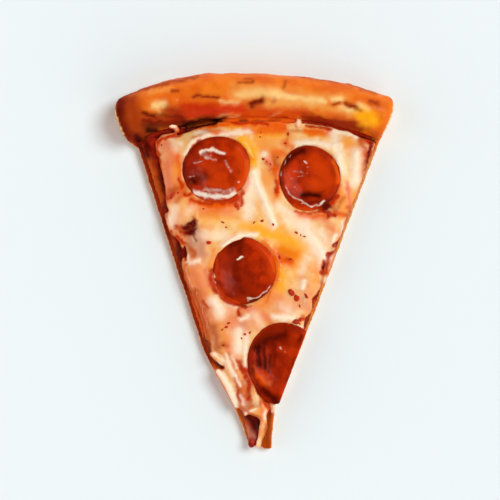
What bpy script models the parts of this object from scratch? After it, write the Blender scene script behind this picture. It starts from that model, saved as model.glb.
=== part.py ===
"""Slice of pepperoni pizza: an eighth of a 14-inch round, lying flat.

The slice is planned on the round pizza that it was cut from, with the pizza's centre at the plan's
origin, +Y towards the middle of the slice's rim and +X to the right. A place on it is a distance
from the pizza's centre and a share of the way across from the left cut (0) to the right cut (1).
At the end all pieces move together, so that the origin is under the middle of the slice.
All lengths are in metres.
"""

import math

import bmesh
import bpy
from mathutils import Matrix, Vector, noise

GAP = 0.0003

# Whole slice
SLICE_RADIUS = 0.178
TIP_DISTANCE = 0.0055
LEFT_CUT_ANGLE = math.radians(20.6)
RIGHT_CUT_ANGLE = math.radians(20.8)
LEFT_TIP_HALF = 0.0036
RIGHT_TIP_HALF = 0.0062
TIP_BLEND_POWER = 6
ARC_ROWS_START = 0.012
ARC_ROWS_FULL = 0.060

# Stretches where the left cut bows out: place along the cut, half length, depth
LEFT_BOWS = ((0.080, 0.060, 0.0036), (0.054, 0.018, 0.0016))
# The right cut is pinched in just above the tip
RIGHT_PINCH = (0.0255, 0.0035, 0.0020)

# Dough and rim
DOUGH_THICKNESS = 0.0045
RIM_CREST_DISTANCE = 0.168
RIM_HEIGHT = 0.0188
RIM_MIDDLE_HEIGHT = 0.008
RIM_INNER_WIDTH = 0.0105
RIM_OUTER_WIDTH = SLICE_RADIUS - RIM_CREST_DISTANCE
RIM_TOP_END_ANGLE = math.radians(5)
RIM_UNDER_CENTRE = 0.170
RIM_UNDER_END_ANGLE = math.radians(-10)
RIM_FLAT_SHARE = 0.4
RIM_LUMP_DEPTH = 0.0013
RIM_LUMP_SIZE = 0.015
RIM_END_DROP = 0.12
RIM_END_ROUND = 0.005
END_FLARE = 0.0038
END_FLARE_START = 0.1535
END_FLARE_FULL = 0.160
CORNER_START = 0.170
LEFT_CORNER_DEPTH = 0.0062
RIGHT_CORNER_DEPTH = 0.0056
CRUST_COLUMNS = 28
CRUST_FLAT_ROWS = 40
CRUST_RIM_ROWS = 15
CRUST_CROWDING = 0.45
RIM_SIDE_BULGE = 0.0009
DOUGH_SIDE_ROUGHNESS = 0.0003
DOUGH_SIDE_LUMP = 0.005

# Stretches where the rim swells outwards or lies back: share across, half width as a share, depth
RIM_SWELLS = ((0.20, 0.16, 0.0012), (0.36, 0.10, 0.0006), (0.62, 0.16, -0.0008), (0.92, 0.08, -0.0006))

# Blisters on the rim: share across, share of the way over it from the foot, half size, height
BLISTERS = (
    (0.13, 0.36, 0.006, 0.0011),
    (0.24, 0.62, 0.009, 0.0013),
    (0.40, 0.42, 0.007, 0.0010),
    (0.55, 0.60, 0.010, 0.0014),
    (0.71, 0.38, 0.007, 0.0012),
    (0.86, 0.58, 0.008, 0.0011),
)

# Sauce, a thin layer from cut to cut
SAUCE_BOTTOM = DOUGH_THICKNESS + GAP
SAUCE_THICKNESS = 0.0012
SAUCE_LEFT_INSET = 0.0014
SAUCE_RIGHT_INSET = 0.0008
SAUCE_END_DISTANCE = 0.1565
SAUCE_TIP_DISTANCE = 0.0075
SAUCE_TONGUE_EDGE = 0.0015
SAUCE_EDGE_WAVER = 0.0005
SAUCE_EDGE_ROUND = 0.002
SAUCE_COLUMNS = 8
SAUCE_ROWS = 48

# Cheese
CHEESE_BOTTOM = SAUCE_BOTTOM + SAUCE_THICKNESS + GAP
CHEESE_EDGE_THICKNESS = 0.0014
CHEESE_THICKNESS = 0.0034
CHEESE_EDGE_ROUND = 0.0045
CHEESE_SWELL = 0.0010
CHEESE_SWELL_SIZE = 0.016
CHEESE_TIP_DISTANCE = 0.0060
CHEESE_END_DISTANCE = 0.1558
CHEESE_LEFT_END_DROP = 0.0026
CHEESE_RIGHT_INSET = 0.0010
CHEESE_EDGE_WAVER = 0.0007
CHEESE_COLUMNS = 24
CHEESE_ROWS = 62
EDGE_CROWDING = 0.55
# The strand that the cheese draws out to at the tip
STRAND_HALF_WIDTH = 0.0013
STRAND_END_DISTANCE = 0.018
STRAND_JOIN_DISTANCE = 0.0235
STRAND_LEAN = 0.0035
# How far the cheese stops short of the left cut: place along the cut, distance
CHEESE_LEFT_INSETS = (
    (0.020, 0.0016),
    (0.040, 0.0024),
    (0.047, 0.0030),
    (0.0505, 0.0056),
    (0.054, 0.0028),
    (0.059, 0.0034),
    (0.069, 0.0058),
    (0.079, 0.0058),
    (0.087, 0.0040),
    (0.0915, 0.0037),
    (0.096, 0.0044),
    (0.101, 0.0063),
    (0.106, 0.0068),
    (0.111, 0.0041),
    (0.116, 0.0038),
    (0.125, 0.0042),
    (0.133, 0.0057),
    (0.143, 0.0067),
    (0.153, 0.0088),
)
# Notches in the cheese's right edge: place along the cut, half length, depth
RIGHT_NOTCHES = (
    (0.1035, 0.0030, 0.0028),
    (0.0920, 0.0030, 0.0022),
    (0.0785, 0.0026, 0.0020),
    (0.0680, 0.0030, 0.0020),
)
# Holes that the sauce shows through: place across, place towards the rim, half length, half
# width, turn
HOLES = (
    (0.0051, 0.0196, 0.0054, 0.0010, math.radians(90)),
    (-0.0182, 0.0442, 0.0036, 0.0013, math.radians(-33)),
    (0.0341, 0.0968, 0.0036, 0.0009, math.radians(50)),
    (0.0302, 0.0885, 0.0031, 0.0009, math.radians(90)),
    (0.0235, 0.0631, 0.0027, 0.0011, math.radians(60)),
)
HOLE_SEGMENTS = 12
# The raised fold of cheese along the left edge above the tip
FOLD_START = 0.026
FOLD_END = 0.045
FOLD_FADE = 0.004
FOLD_HEIGHT = 0.0012
FOLD_INSET = 0.0022
FOLD_HALF_WIDTH = 0.0018

# Pepperoni: name, place across, place towards the rim, radius, turn of its unevenness, and the
# share of the radius that its lower side is drawn out by
PEPPERONI = (
    ("pepperoni_1", -0.0192, 0.1338, 0.0154, 0.4, 0.0),
    ("pepperoni_2", 0.0236, 0.1296, 0.0146, -1.4, 0.0),
    ("pepperoni_3", -0.0064, 0.0872, 0.0150, -1.6, 0.0),
    ("pepperoni_4", 0.0116, 0.0459, 0.0173, 5.2, 0.13),
)
CUT_PEPPERONI = "pepperoni_4"
PEPPERONI_FLOOR = CHEESE_BOTTOM + 0.0010
PEPPERONI_THICKNESS = 0.0019
PEPPERONI_CUP = 0.0014
PEPPERONI_EDGE_DROP = 0.0012
PEPPERONI_SEGMENTS = 32
PEPPERONI_RINGS = (0.4, 0.62, 0.76, 0.86)
PEPPERONI_CUP_START = 0.35
PEPPERONI_FOOT = 0.97
PEPPERONI_UNEVEN = 0.032
POCKET_TOP = 0.020
LOBE_DIRECTION = math.radians(-105)
LOBE_HALF_WIDTH = math.radians(24)

# Dried pepper and herb flakes: place across, place towards the rim, length
FLAKES = (
    (0.0183, 0.0645, 0.0040),
    (-0.0161, 0.1093, 0.0020),
    (-0.0226, 0.1000, 0.0017),
    (-0.0018, 0.1093, 0.0020),
    (0.0018, 0.1102, 0.0016),
    (0.0069, 0.1083, 0.0022),
    (0.0175, 0.1046, 0.0017),
    (0.0212, 0.1028, 0.0019),
    (0.0148, 0.0922, 0.0018),
    (0.0152, 0.0773, 0.0036),
    (0.0177, 0.0747, 0.0034),
    (-0.0134, 0.0632, 0.0022),
    (-0.0060, 0.0581, 0.0021),
    (-0.0157, 0.0530, 0.0017),
    (-0.0088, 0.0673, 0.0015),
    (-0.0395, 0.1208, 0.0019),
    (0.0138, 0.1498, 0.0018),
    (0.0055, 0.1360, 0.0017),
    (0.0323, 0.1134, 0.0020),
    (-0.0101, 0.1171, 0.0017),
    (0.0220, 0.0755, 0.0028),
    (-0.0330, 0.1068, 0.0060),
    (-0.0354, 0.1026, 0.0040),
)
FLAKE_WIDTH_SHARE = 0.55
FLAKE_HEIGHT_SHARE = 0.42
FLAKE_TURN = math.radians(137.5)
MERGE_DISTANCE = 0.00001

# Colour, roughness
DOUGH_FINISH = ((0.62, 0.20, 0.035), 0.62)
SAUCE_FINISH = ((0.30, 0.015, 0.004), 0.35)
CHEESE_FINISH = ((0.93, 0.62, 0.34), 0.38)
PEPPERONI_FINISH = ((0.34, 0.025, 0.006), 0.30)


def smoothstep(low, high, value):
    """Share from 0 to 1 of the way from low to high, easing in and out."""
    share = min(max((value - low) / (high - low), 0.0), 1.0)
    return share * share * (3.0 - 2.0 * share)


def bump(value, centre, half_length):
    """Rounded hump of height 1 at the centre."""
    return math.exp(-(((value - centre) / half_length) ** 2))


def mix(first, second, share):
    """Value a share of the way from first to second."""
    return first + (second - first) * share


def station(stops, value):
    """Value between the stops of a table of places and values, easing from stop to stop."""
    for (start, first), (end, last) in zip(stops, stops[1:]):
        if value < end:
            return mix(first, last, smoothstep(start, end, value))
    return stops[-1][1]


def waver(across, along, size, layer):
    """Smooth unevenness from -1 to 1 whose lumps are about one size across."""
    return noise.noise(Vector((across / size, along / size, layer)))


def crowd(share, amount):
    """Share across with the steps drawn towards both edges."""
    return mix(share, 0.5 - 0.5 * math.cos(math.pi * share), amount)


def corner(distance, depth):
    """How far a rim corner is rounded back at a distance from the pizza's centre."""
    share = min(max((distance - CORNER_START) / (SLICE_RADIUS - CORNER_START), 0.0), 1.0)
    return depth * (1.0 - math.sqrt(1.0 - share * share))


def left_cut(distance):
    """Place across of the left cut."""
    straight = math.hypot(distance * math.sin(LEFT_CUT_ANGLE), LEFT_TIP_HALF)
    bow = sum(depth * bump(distance, place, length) for place, length, depth in LEFT_BOWS)
    bow *= smoothstep(TIP_DISTANCE, 6 * TIP_DISTANCE, distance)
    flare = END_FLARE * smoothstep(END_FLARE_START, END_FLARE_FULL, distance)
    return corner(distance, LEFT_CORNER_DEPTH) - straight - bow - flare


def right_cut(distance):
    """Place across of the right cut."""
    line = (distance * math.sin(RIGHT_CUT_ANGLE)) ** TIP_BLEND_POWER
    edge = (line + RIGHT_TIP_HALF ** TIP_BLEND_POWER) ** (1 / TIP_BLEND_POWER)
    place, length, depth = RIGHT_PINCH
    return edge - depth * bump(distance, place, length) - corner(distance, RIGHT_CORNER_DEPTH)


def on_plan(across, distance, height):
    """Point at a signed place across, on the row at a distance from the pizza's centre.

    Rows are arcs round the pizza's centre, and straighten towards the tip.
    """
    arc = math.sqrt(max(distance * distance - across * across, 0.0))
    along = mix(distance, arc, smoothstep(ARC_ROWS_START, ARC_ROWS_FULL, distance))
    return Vector((across, along, height))


def slab(columns, rows, underside, topside, wall_bulge=None):
    """Closed solid between two surfaces.

    Each surface is a function that gives a point for shares across and along, and the two are
    joined by a wall all the way round. The middle of the wall stands out by what wall_bulge gives
    for a point on it and the outward direction there.
    """
    solid = bmesh.new()
    bmesh.ops.create_grid(solid, x_segments=columns, y_segments=rows, size=0.5)
    bmesh.ops.translate(solid, vec=(0.5, 0.5, 0.0), verts=solid.verts)
    lower = list(solid.verts)
    raised = bmesh.ops.extrude_face_region(solid, geom=solid.faces[:])
    upper = [item for item in raised["geom"] if isinstance(item, bmesh.types.BMVert)]
    for vert in lower:
        vert.co = underside(vert.co.x, vert.co.y)
    for vert in upper:
        vert.co = topside(vert.co.x, vert.co.y)
    if wall_bulge:
        bulge_wall(solid, set(lower), wall_bulge)
    close_up(solid)
    return solid


def bulge_wall(solid, lower, wall_bulge):
    """Split a slab's wall half way up and push the new points outwards."""
    bmesh.ops.recalc_face_normals(solid, faces=solid.faces[:])
    upright = [edge for edge in solid.edges if (edge.verts[0] in lower) != (edge.verts[1] in lower)]
    known = set(solid.verts)
    bmesh.ops.subdivide_edges(solid, edges=upright, cuts=1)
    middles = [vert for vert in solid.verts if vert not in known]
    solid.normal_update()
    for vert in middles:
        outward = Vector((vert.normal.x, vert.normal.y, 0.0)).normalized()
        vert.co += outward * wall_bulge(vert.co, outward)


def close_up(solid):
    """Split the faces into triangles and turn them outwards."""
    bmesh.ops.triangulate(solid, faces=solid.faces[:])
    bmesh.ops.recalc_face_normals(solid, faces=solid.faces[:])


def turned(profile, segments):
    """Closed solid turned round Z from a profile of radius and height that starts and ends on Z."""
    solid = bmesh.new()
    chain = [solid.verts.new((radius, 0.0, height)) for radius, height in profile]
    edges = [solid.edges.new(pair) for pair in zip(chain, chain[1:])]
    bmesh.ops.spin(
        solid,
        geom=chain + edges,
        axis=(0.0, 0.0, 1.0),
        cent=(0.0, 0.0, 0.0),
        angle=math.tau,
        steps=segments,
        use_merge=True,
    )
    bmesh.ops.remove_doubles(solid, verts=solid.verts, dist=MERGE_DISTANCE)
    close_up(solid)
    return solid


def finish(name, colour, roughness):
    """Plain finish of one colour and roughness."""
    material = bpy.data.materials.new(name + "_finish")
    material.use_nodes = True
    shader = material.node_tree.nodes["Principled BSDF"]
    shader.inputs["Base Color"].default_value = (*colour, 1.0)
    shader.inputs["Roughness"].default_value = roughness
    shader.inputs["Metallic"].default_value = 0.0
    return material


def add_piece(name, solid, look):
    """Add a solid to the scene as a named object with its own finish."""
    mesh = bpy.data.meshes.new(name)
    solid.to_mesh(mesh)
    solid.free()
    mesh.materials.append(finish(name, *look))
    mesh.shade_smooth()
    mesh.set_sharp_from_angle(angle=math.radians(50))
    piece = bpy.data.objects.new(name, mesh)
    bpy.context.scene.collection.objects.link(piece)
    return piece


def combine(piece, solids, operation):
    """Cut solids out of a piece or join them to it, and remove the solids."""
    group = bpy.data.collections.new(piece.name + "_" + operation.lower())
    bpy.context.scene.collection.children.link(group)
    for solid in solids:
        mesh = bpy.data.meshes.new(group.name)
        solid.to_mesh(mesh)
        solid.free()
        group.objects.link(bpy.data.objects.new(group.name, mesh))
    boolean = piece.modifiers.new(operation.title(), "BOOLEAN")
    boolean.operation = operation
    boolean.operand_type = "COLLECTION"
    boolean.collection = group
    boolean.solver = "EXACT"
    bpy.context.view_layer.update()
    evaluated = piece.evaluated_get(bpy.context.evaluated_depsgraph_get())
    joined = bpy.data.meshes.new_from_object(evaluated)
    piece.modifiers.remove(boolean)
    piece.data = joined
    for helper in list(group.objects):
        bpy.data.objects.remove(helper, do_unlink=True)
    bpy.data.collections.remove(group)


def rim_foot_angle():
    """Angle on the rim's section where it meets the dough's flat top."""
    drop = (RIM_MIDDLE_HEIGHT - DOUGH_THICKNESS) / (RIM_HEIGHT - RIM_MIDDLE_HEIGHT)
    return math.pi + math.asin(drop)


def rim_foot_distance():
    """Distance of the rim's foot from the pizza's centre."""
    return RIM_CREST_DISTANCE + RIM_INNER_WIDTH * math.cos(rim_foot_angle())


def rim_top(share):
    """Distance and height of the rim's upper skin, from its foot (0) over the crest (1)."""
    angle = mix(rim_foot_angle(), RIM_TOP_END_ANGLE, share)
    width = RIM_INNER_WIDTH if math.cos(angle) < 0.0 else RIM_OUTER_WIDTH
    distance = RIM_CREST_DISTANCE + width * math.cos(angle)
    return distance, RIM_MIDDLE_HEIGHT + (RIM_HEIGHT - RIM_MIDDLE_HEIGHT) * math.sin(angle)


def rim_underside(share):
    """Distance and height of the rim's lower skin, from under its foot (0) to the outside (1)."""
    if share < RIM_FLAT_SHARE:
        return mix(rim_foot_distance(), RIM_UNDER_CENTRE, share / RIM_FLAT_SHARE), 0.0
    turn = (share - RIM_FLAT_SHARE) / (1.0 - RIM_FLAT_SHARE)
    angle = mix(-math.pi / 2, RIM_UNDER_END_ANGLE, turn)
    distance = RIM_UNDER_CENTRE + (SLICE_RADIUS - RIM_UNDER_CENTRE) * math.cos(angle)
    return distance, RIM_MIDDLE_HEIGHT * (1.0 + math.sin(angle))


def crust_row(along):
    """Distance of a flat row, or nothing and the share over the rim past the rim's foot."""
    row = along * (CRUST_FLAT_ROWS + CRUST_RIM_ROWS)
    if row <= CRUST_FLAT_ROWS:
        return mix(TIP_DISTANCE, rim_foot_distance(), row / CRUST_FLAT_ROWS), 0.0
    return None, (row - CRUST_FLAT_ROWS) / CRUST_RIM_ROWS


def tip_recess(across, distance):
    """How far the dough stops short of the tip, left of the tongue that it ends in."""
    short = 0.0012 * (1.0 - smoothstep(0.45, 0.6, across)) + 0.0010 * bump(across, 0.52, 0.06)
    return short * (1.0 - smoothstep(TIP_DISTANCE, 3 * TIP_DISTANCE, distance))


def crust_point(across, distance, height):
    """Point of the crust at a share across, a distance and a height."""
    place = mix(left_cut(distance), right_cut(distance), crowd(across, CRUST_CROWDING))
    return on_plan(place, distance + tip_recess(across, distance), height)


def rim_swell(across, share):
    """How far the rim swells outwards at a share across and over it."""
    depth = sum(reach * bump(across, centre, width) for centre, width, reach in RIM_SWELLS)
    return depth * smoothstep(0.4, 1.0, share)


def rim_lumps(across, share, place):
    """Height of the rim's lumps and blisters above its even section."""
    lumps = RIM_LUMP_DEPTH * waver(place.x, place.y + place.z, RIM_LUMP_SIZE, 3.7)
    width = SLICE_RADIUS * (LEFT_CUT_ANGLE + RIGHT_CUT_ANGLE)
    reach = RIM_INNER_WIDTH + RIM_OUTER_WIDTH
    for centre, over, size, height in BLISTERS:
        away = math.hypot((across - centre) * width, (share - over) * reach * 1.6)
        lumps += height * bump(away, 0.0, size)
    return lumps * smoothstep(0.1, 0.35, share) * (1.0 - smoothstep(0.85, 1.0, share))


def crust_top(across, along):
    """Point of the crust's upper surface."""
    distance, share = crust_row(along)
    if distance is not None:
        return crust_point(across, distance, DOUGH_THICKNESS)
    distance, height = rim_top(share)
    point = crust_point(across, distance + rim_swell(across, share), height)
    from_end = min(point.x - left_cut(distance), right_cut(distance) - point.x)
    drop = RIM_END_DROP * (1.0 - smoothstep(0.0, RIM_END_ROUND, from_end))
    raised = (height - DOUGH_THICKNESS) * (1.0 - drop * smoothstep(0.0, 0.3, share))
    point.z = DOUGH_THICKNESS + raised + rim_lumps(across, share, point) * (1.0 - drop)
    return point


def crust_underside(across, along):
    """Point of the crust's lower surface."""
    distance, share = crust_row(along)
    if distance is not None:
        return crust_point(across, distance, 0.0)
    distance, height = rim_underside(share)
    return crust_point(across, distance + rim_swell(across, share), height)


def crust_side_bulge(point, outward):
    """How far the crust's wall stands out: full at the rim's ends, slightly rough elsewhere."""
    rough = DOUGH_SIDE_ROUGHNESS * waver(point.x, point.y, DOUGH_SIDE_LUMP, 6.2)
    full = RIM_SIDE_BULGE * smoothstep(DOUGH_THICKNESS, RIM_HEIGHT, 2.0 * point.z)
    return rough + full * smoothstep(0.5, 0.9, abs(outward.x))


def make_crust():
    """Dough from the tip to the rim in one piece, with a browned rim and cut sides."""
    rows = CRUST_FLAT_ROWS + CRUST_RIM_ROWS
    solid = slab(CRUST_COLUMNS, rows, crust_underside, crust_top, crust_side_bulge)
    return add_piece("crust", solid, DOUGH_FINISH)


def sauce_span(distance):
    """Places across of the sauce's two edges."""
    left = left_cut(distance) + SAUCE_LEFT_INSET * smoothstep(0.0, 0.020, distance)
    left += SAUCE_EDGE_WAVER * waver(0.0, distance, 0.008, 1.3)
    covered = right_cut(distance) - SAUCE_RIGHT_INSET
    return left, mix(SAUCE_TONGUE_EDGE, covered, smoothstep(0.016, 0.024, distance))


def sauce_surface(height, edge_drop):
    """Surface of the sauce at a height, lower by edge_drop at its edges."""

    def point(across, along):
        distance = mix(SAUCE_TIP_DISTANCE, SAUCE_END_DISTANCE, along)
        left, right = sauce_span(distance)
        place = mix(left, right, crowd(across, 0.5))
        from_edge = min(place - left, right - place)
        drop = edge_drop * (1.0 - smoothstep(0.0, SAUCE_EDGE_ROUND, from_edge))
        return on_plan(place, distance, height - drop)

    return point


def make_sauce():
    """Thin layer of tomato sauce between dough and cheese."""
    underside = sauce_surface(SAUCE_BOTTOM, 0.0)
    topside = sauce_surface(SAUCE_BOTTOM + SAUCE_THICKNESS, 0.5 * SAUCE_THICKNESS)
    solid = slab(SAUCE_COLUMNS, SAUCE_ROWS, underside, topside)
    return add_piece("sauce", solid, SAUCE_FINISH)


def cheese_span(distance):
    """Places across of the cheese's two edges."""
    inset = station(CHEESE_LEFT_INSETS, distance)
    inset += 0.5 * CHEESE_EDGE_WAVER * waver(1.0, distance, 0.007, 5.1)
    left = left_cut(distance) + inset
    inset = CHEESE_RIGHT_INSET
    inset += sum(depth * bump(distance, place, length) for place, length, depth in RIGHT_NOTCHES)
    inset += 0.5 * CHEESE_EDGE_WAVER * waver(2.0, distance, 0.006, 8.4)
    right = right_cut(distance) - inset
    middle = STRAND_LEAN * smoothstep(CHEESE_TIP_DISTANCE, STRAND_END_DISTANCE, distance)
    spread = smoothstep(STRAND_END_DISTANCE, STRAND_JOIN_DISTANCE, distance)
    return (
        mix(middle - STRAND_HALF_WIDTH, left, spread),
        mix(middle + STRAND_HALF_WIDTH, right, spread),
    )


def cheese_plan(across, along):
    """Place across, distance and distance to the nearest edge of a point of the cheese."""
    rim_side = CHEESE_LEFT_END_DROP * (1.0 - smoothstep(0.1, 0.35, across))
    end = CHEESE_END_DISTANCE - rim_side + 0.0007 * waver(across, 0.0, 0.08, 2.6)
    distance = mix(CHEESE_TIP_DISTANCE, end, along)
    left, right = cheese_span(distance)
    place = mix(left, right, crowd(across, EDGE_CROWDING))
    from_edge = min(place - left, right - place, end - distance, distance - CHEESE_TIP_DISTANCE)
    return place, distance, from_edge


def cheese_top_height(place, distance, from_edge):
    """Height of the cheese's upper surface."""
    body = mix(CHEESE_EDGE_THICKNESS, CHEESE_THICKNESS, smoothstep(0.0, CHEESE_EDGE_ROUND, from_edge))
    swell = CHEESE_SWELL * waver(place, distance, CHEESE_SWELL_SIZE, 0.5)
    swell *= smoothstep(0.0, CHEESE_EDGE_ROUND, from_edge)
    fold = FOLD_HEIGHT * bump(place - cheese_span(distance)[0], FOLD_INSET, FOLD_HALF_WIDTH)
    fold *= smoothstep(FOLD_START - FOLD_FADE, FOLD_START, distance)
    fold *= 1.0 - smoothstep(FOLD_END, FOLD_END + FOLD_FADE, distance)
    return CHEESE_BOTTOM + body + swell + fold


def cheese_underside(across, along):
    """Point of the cheese's lower surface."""
    place, distance, _ = cheese_plan(across, along)
    return on_plan(place, distance, CHEESE_BOTTOM)


def cheese_top(across, along):
    """Point of the cheese's upper surface."""
    place, distance, from_edge = cheese_plan(across, along)
    return on_plan(place, distance, cheese_top_height(place, distance, from_edge))


def make_cheese():
    """Melted cheese from cut to cut, hollowed for the pepperoni and with flakes baked on."""
    solid = slab(CHEESE_COLUMNS, CHEESE_ROWS, cheese_underside, cheese_top)
    cheese = add_piece("cheese", solid, CHEESE_FINISH)
    cutters = [pocket(*values[1:]) for values in PEPPERONI] + [hole(*values) for values in HOLES]
    combine(cheese, cutters, "DIFFERENCE")
    combine(cheese, [flake(index, *values) for index, values in enumerate(FLAKES)], "UNION")
    return cheese


def uneven_radius(radius, turn, lobe, direction):
    """Radius of a pepperoni's outline in one direction."""
    waves = math.sin(2.0 * direction + turn) + 0.6 * math.sin(3.0 * direction - turn)
    away = math.remainder(direction - LOBE_DIRECTION, math.tau)
    return radius * (1.0 + PEPPERONI_UNEVEN * waves + lobe * bump(away, 0.0, LOBE_HALF_WIDTH))


def shape_disc(solid, across, along, radius, turn, lobe, margin):
    """Give a disc of radius 1 a pepperoni's outline, widened by a margin, and put it in place."""
    for vert in solid.verts:
        direction = math.atan2(vert.co.y, vert.co.x)
        reach = uneven_radius(radius, turn, lobe, direction) + margin
        vert.co.x = across + vert.co.x * reach
        vert.co.y = along + vert.co.y * reach


def pocket(across, along, radius, turn, lobe):
    """Cutter for the hollow in the cheese that a pepperoni lies in."""
    profile = ((0.0, PEPPERONI_FLOOR), (1.0, PEPPERONI_FLOOR), (1.0, POCKET_TOP), (0.0, POCKET_TOP))
    solid = turned(profile, PEPPERONI_SEGMENTS)
    shape_disc(solid, across, along, radius, turn, lobe, GAP)
    return solid


def hole(across, along, half_length, half_width, turn):
    """Cutter for a long hole through the cheese."""
    profile = ((0.0, SAUCE_BOTTOM), (1.0, SAUCE_BOTTOM), (1.0, POCKET_TOP), (0.0, POCKET_TOP))
    solid = turned(profile, HOLE_SEGMENTS)
    bmesh.ops.scale(solid, vec=(half_length, half_width, 1.0), verts=solid.verts)
    bmesh.ops.rotate(
        solid, cent=(0.0, 0.0, 0.0), matrix=Matrix.Rotation(turn, 3, "Z"), verts=solid.verts
    )
    bmesh.ops.translate(solid, vec=(across, along, 0.0), verts=solid.verts)
    return solid


def pepperoni_profile():
    """Half section of a cupped slice of pepperoni, from under its middle round to the top."""
    foot = PEPPERONI_FLOOR + GAP
    top = foot + PEPPERONI_THICKNESS
    points = [(0.0, foot), (PEPPERONI_FOOT, foot), (1.0, top + PEPPERONI_CUP - PEPPERONI_EDGE_DROP)]
    for ring in reversed(PEPPERONI_RINGS):
        lift = smoothstep(PEPPERONI_CUP_START, PEPPERONI_RINGS[-1], ring)
        points.append((ring, top + PEPPERONI_CUP * lift))
    points.append((0.0, top))
    return points


def trim_to_right_cut(solid):
    """Cut a solid off along the slice's right cut and close the cut face."""
    outward = Vector((math.cos(RIGHT_CUT_ANGLE), -math.sin(RIGHT_CUT_ANGLE), 0.0))
    everything = solid.verts[:] + solid.edges[:] + solid.faces[:]
    bmesh.ops.bisect_plane(
        solid, geom=everything, plane_co=-GAP * outward, plane_no=outward, clear_outer=True
    )
    rim = [edge for edge in solid.edges if edge.is_boundary]
    bmesh.ops.edgeloop_fill(solid, edges=rim)
    close_up(solid)


def make_pepperoni(name, across, along, radius, turn, lobe):
    """Cupped slice of pepperoni lying in its hollow in the cheese."""
    solid = turned(pepperoni_profile(), PEPPERONI_SEGMENTS)
    shape_disc(solid, across, along, radius, turn, lobe, 0.0)
    if name == CUT_PEPPERONI:
        trim_to_right_cut(solid)
    return add_piece(name, solid, PEPPERONI_FINISH)


def flake(index, across, along, length):
    """Dried flake lying half sunk in the cheese."""
    solid = bmesh.new()
    bmesh.ops.create_icosphere(solid, subdivisions=1, radius=0.5)
    size = Vector((length, length * FLAKE_WIDTH_SHARE, length * FLAKE_HEIGHT_SHARE))
    bmesh.ops.scale(solid, vec=size, verts=solid.verts)
    turn = Matrix.Rotation(index * FLAKE_TURN, 3, "Z")
    bmesh.ops.rotate(solid, cent=(0.0, 0.0, 0.0), matrix=turn, verts=solid.verts)
    distance = math.hypot(across, along)
    left, right = cheese_span(distance)
    from_edge = min(across - left, right - across, CHEESE_END_DISTANCE - distance)
    height = cheese_top_height(across, distance, from_edge)
    bmesh.ops.translate(solid, vec=(across, along, height), verts=solid.verts)
    return solid


def centre(pieces):
    """Move all pieces so that the origin is under the middle of the slice."""
    crust = pieces[0].data.vertices
    low = [min(vert.co[axis] for vert in crust) for axis in range(3)]
    high = [max(vert.co[axis] for vert in crust) for axis in range(3)]
    shift = Matrix.Translation((-(low[0] + high[0]) / 2, -(low[1] + high[1]) / 2, -low[2]))
    for piece in pieces:
        piece.data.transform(shift)


def main():
    """Build the slice."""
    for old in list(bpy.data.objects):
        bpy.data.objects.remove(old, do_unlink=True)
    pieces = [make_crust(), make_sauce(), make_cheese()]
    pieces += [make_pepperoni(*values) for values in PEPPERONI]
    centre(pieces)


main()
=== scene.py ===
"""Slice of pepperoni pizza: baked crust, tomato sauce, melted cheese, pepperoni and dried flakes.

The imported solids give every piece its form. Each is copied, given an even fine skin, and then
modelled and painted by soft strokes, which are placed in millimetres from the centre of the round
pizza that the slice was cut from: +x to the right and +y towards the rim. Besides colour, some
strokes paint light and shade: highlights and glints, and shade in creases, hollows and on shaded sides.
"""

from __future__ import annotations

import logging
import math
from dataclasses import dataclass
from enum import Enum
from typing import Union

import bmesh
import bpy
import numpy as np
from mathutils import Matrix, Vector, noise
from mathutils.bvhtree import BVHTree


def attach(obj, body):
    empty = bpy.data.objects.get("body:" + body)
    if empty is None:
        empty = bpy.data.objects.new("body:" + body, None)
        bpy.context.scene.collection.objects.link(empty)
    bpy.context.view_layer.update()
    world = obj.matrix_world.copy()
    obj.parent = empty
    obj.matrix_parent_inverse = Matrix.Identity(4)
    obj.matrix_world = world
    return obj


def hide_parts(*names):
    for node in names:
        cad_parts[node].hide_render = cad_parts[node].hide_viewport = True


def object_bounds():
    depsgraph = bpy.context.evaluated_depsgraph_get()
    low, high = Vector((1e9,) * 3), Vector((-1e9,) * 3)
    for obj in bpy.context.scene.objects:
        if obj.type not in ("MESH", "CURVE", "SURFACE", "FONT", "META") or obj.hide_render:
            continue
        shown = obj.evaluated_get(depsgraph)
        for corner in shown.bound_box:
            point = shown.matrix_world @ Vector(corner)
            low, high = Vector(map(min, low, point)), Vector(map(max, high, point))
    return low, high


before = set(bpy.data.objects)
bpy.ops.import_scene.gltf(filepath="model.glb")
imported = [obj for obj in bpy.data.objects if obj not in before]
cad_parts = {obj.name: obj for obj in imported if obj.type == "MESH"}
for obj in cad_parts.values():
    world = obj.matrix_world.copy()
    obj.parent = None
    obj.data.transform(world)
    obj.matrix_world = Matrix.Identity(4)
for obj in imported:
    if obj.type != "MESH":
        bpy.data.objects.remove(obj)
CAD_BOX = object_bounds()
LOG = logging.getLogger("pizza_slice")

MM = 0.001
# Centre of the round pizza in the frame, in metres
PIZZA_CENTRE = (0.00173, -0.09165)
# Where the picture is taken from: the place under its middle, the width of floor in it and the
# distance, in millimetres, and the angle above the floor
VIEW_CENTRE = (-3.7, 96.8)
VIEW_WIDTH = 230.5
VIEW_DISTANCE = 1280.0
VIEW_ELEVATION = math.radians(89.0)
MERGE_DISTANCE = 0.00001
# How far the edges of paint wander, and over what length, in millimetres
WANDER = 0.8
WANDER_SIZE = 3.0
# How much grain breaks up a ragged edge, and the shares between which it fades
RAGGED_GRAIN = 0.7
RAGGED_ENDS = (0.12, 0.95)
# Length of a strand between two beads, as a share of its radius
BEAD_STEP = 0.5

Place = tuple[float, float]
Colour = tuple[float, float, float]
Number = Union[float, "Value"]


def srgb(red: int, green: int, blue: int) -> Colour:
    """Turn a display colour of 0 to 255 a channel into the linear colour that shaders take."""
    shares = (red / 255, green / 255, blue / 255)
    return tuple(c / 12.92 if c <= 0.04045 else ((c + 0.055) / 1.055) ** 2.4 for c in shares)


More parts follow.
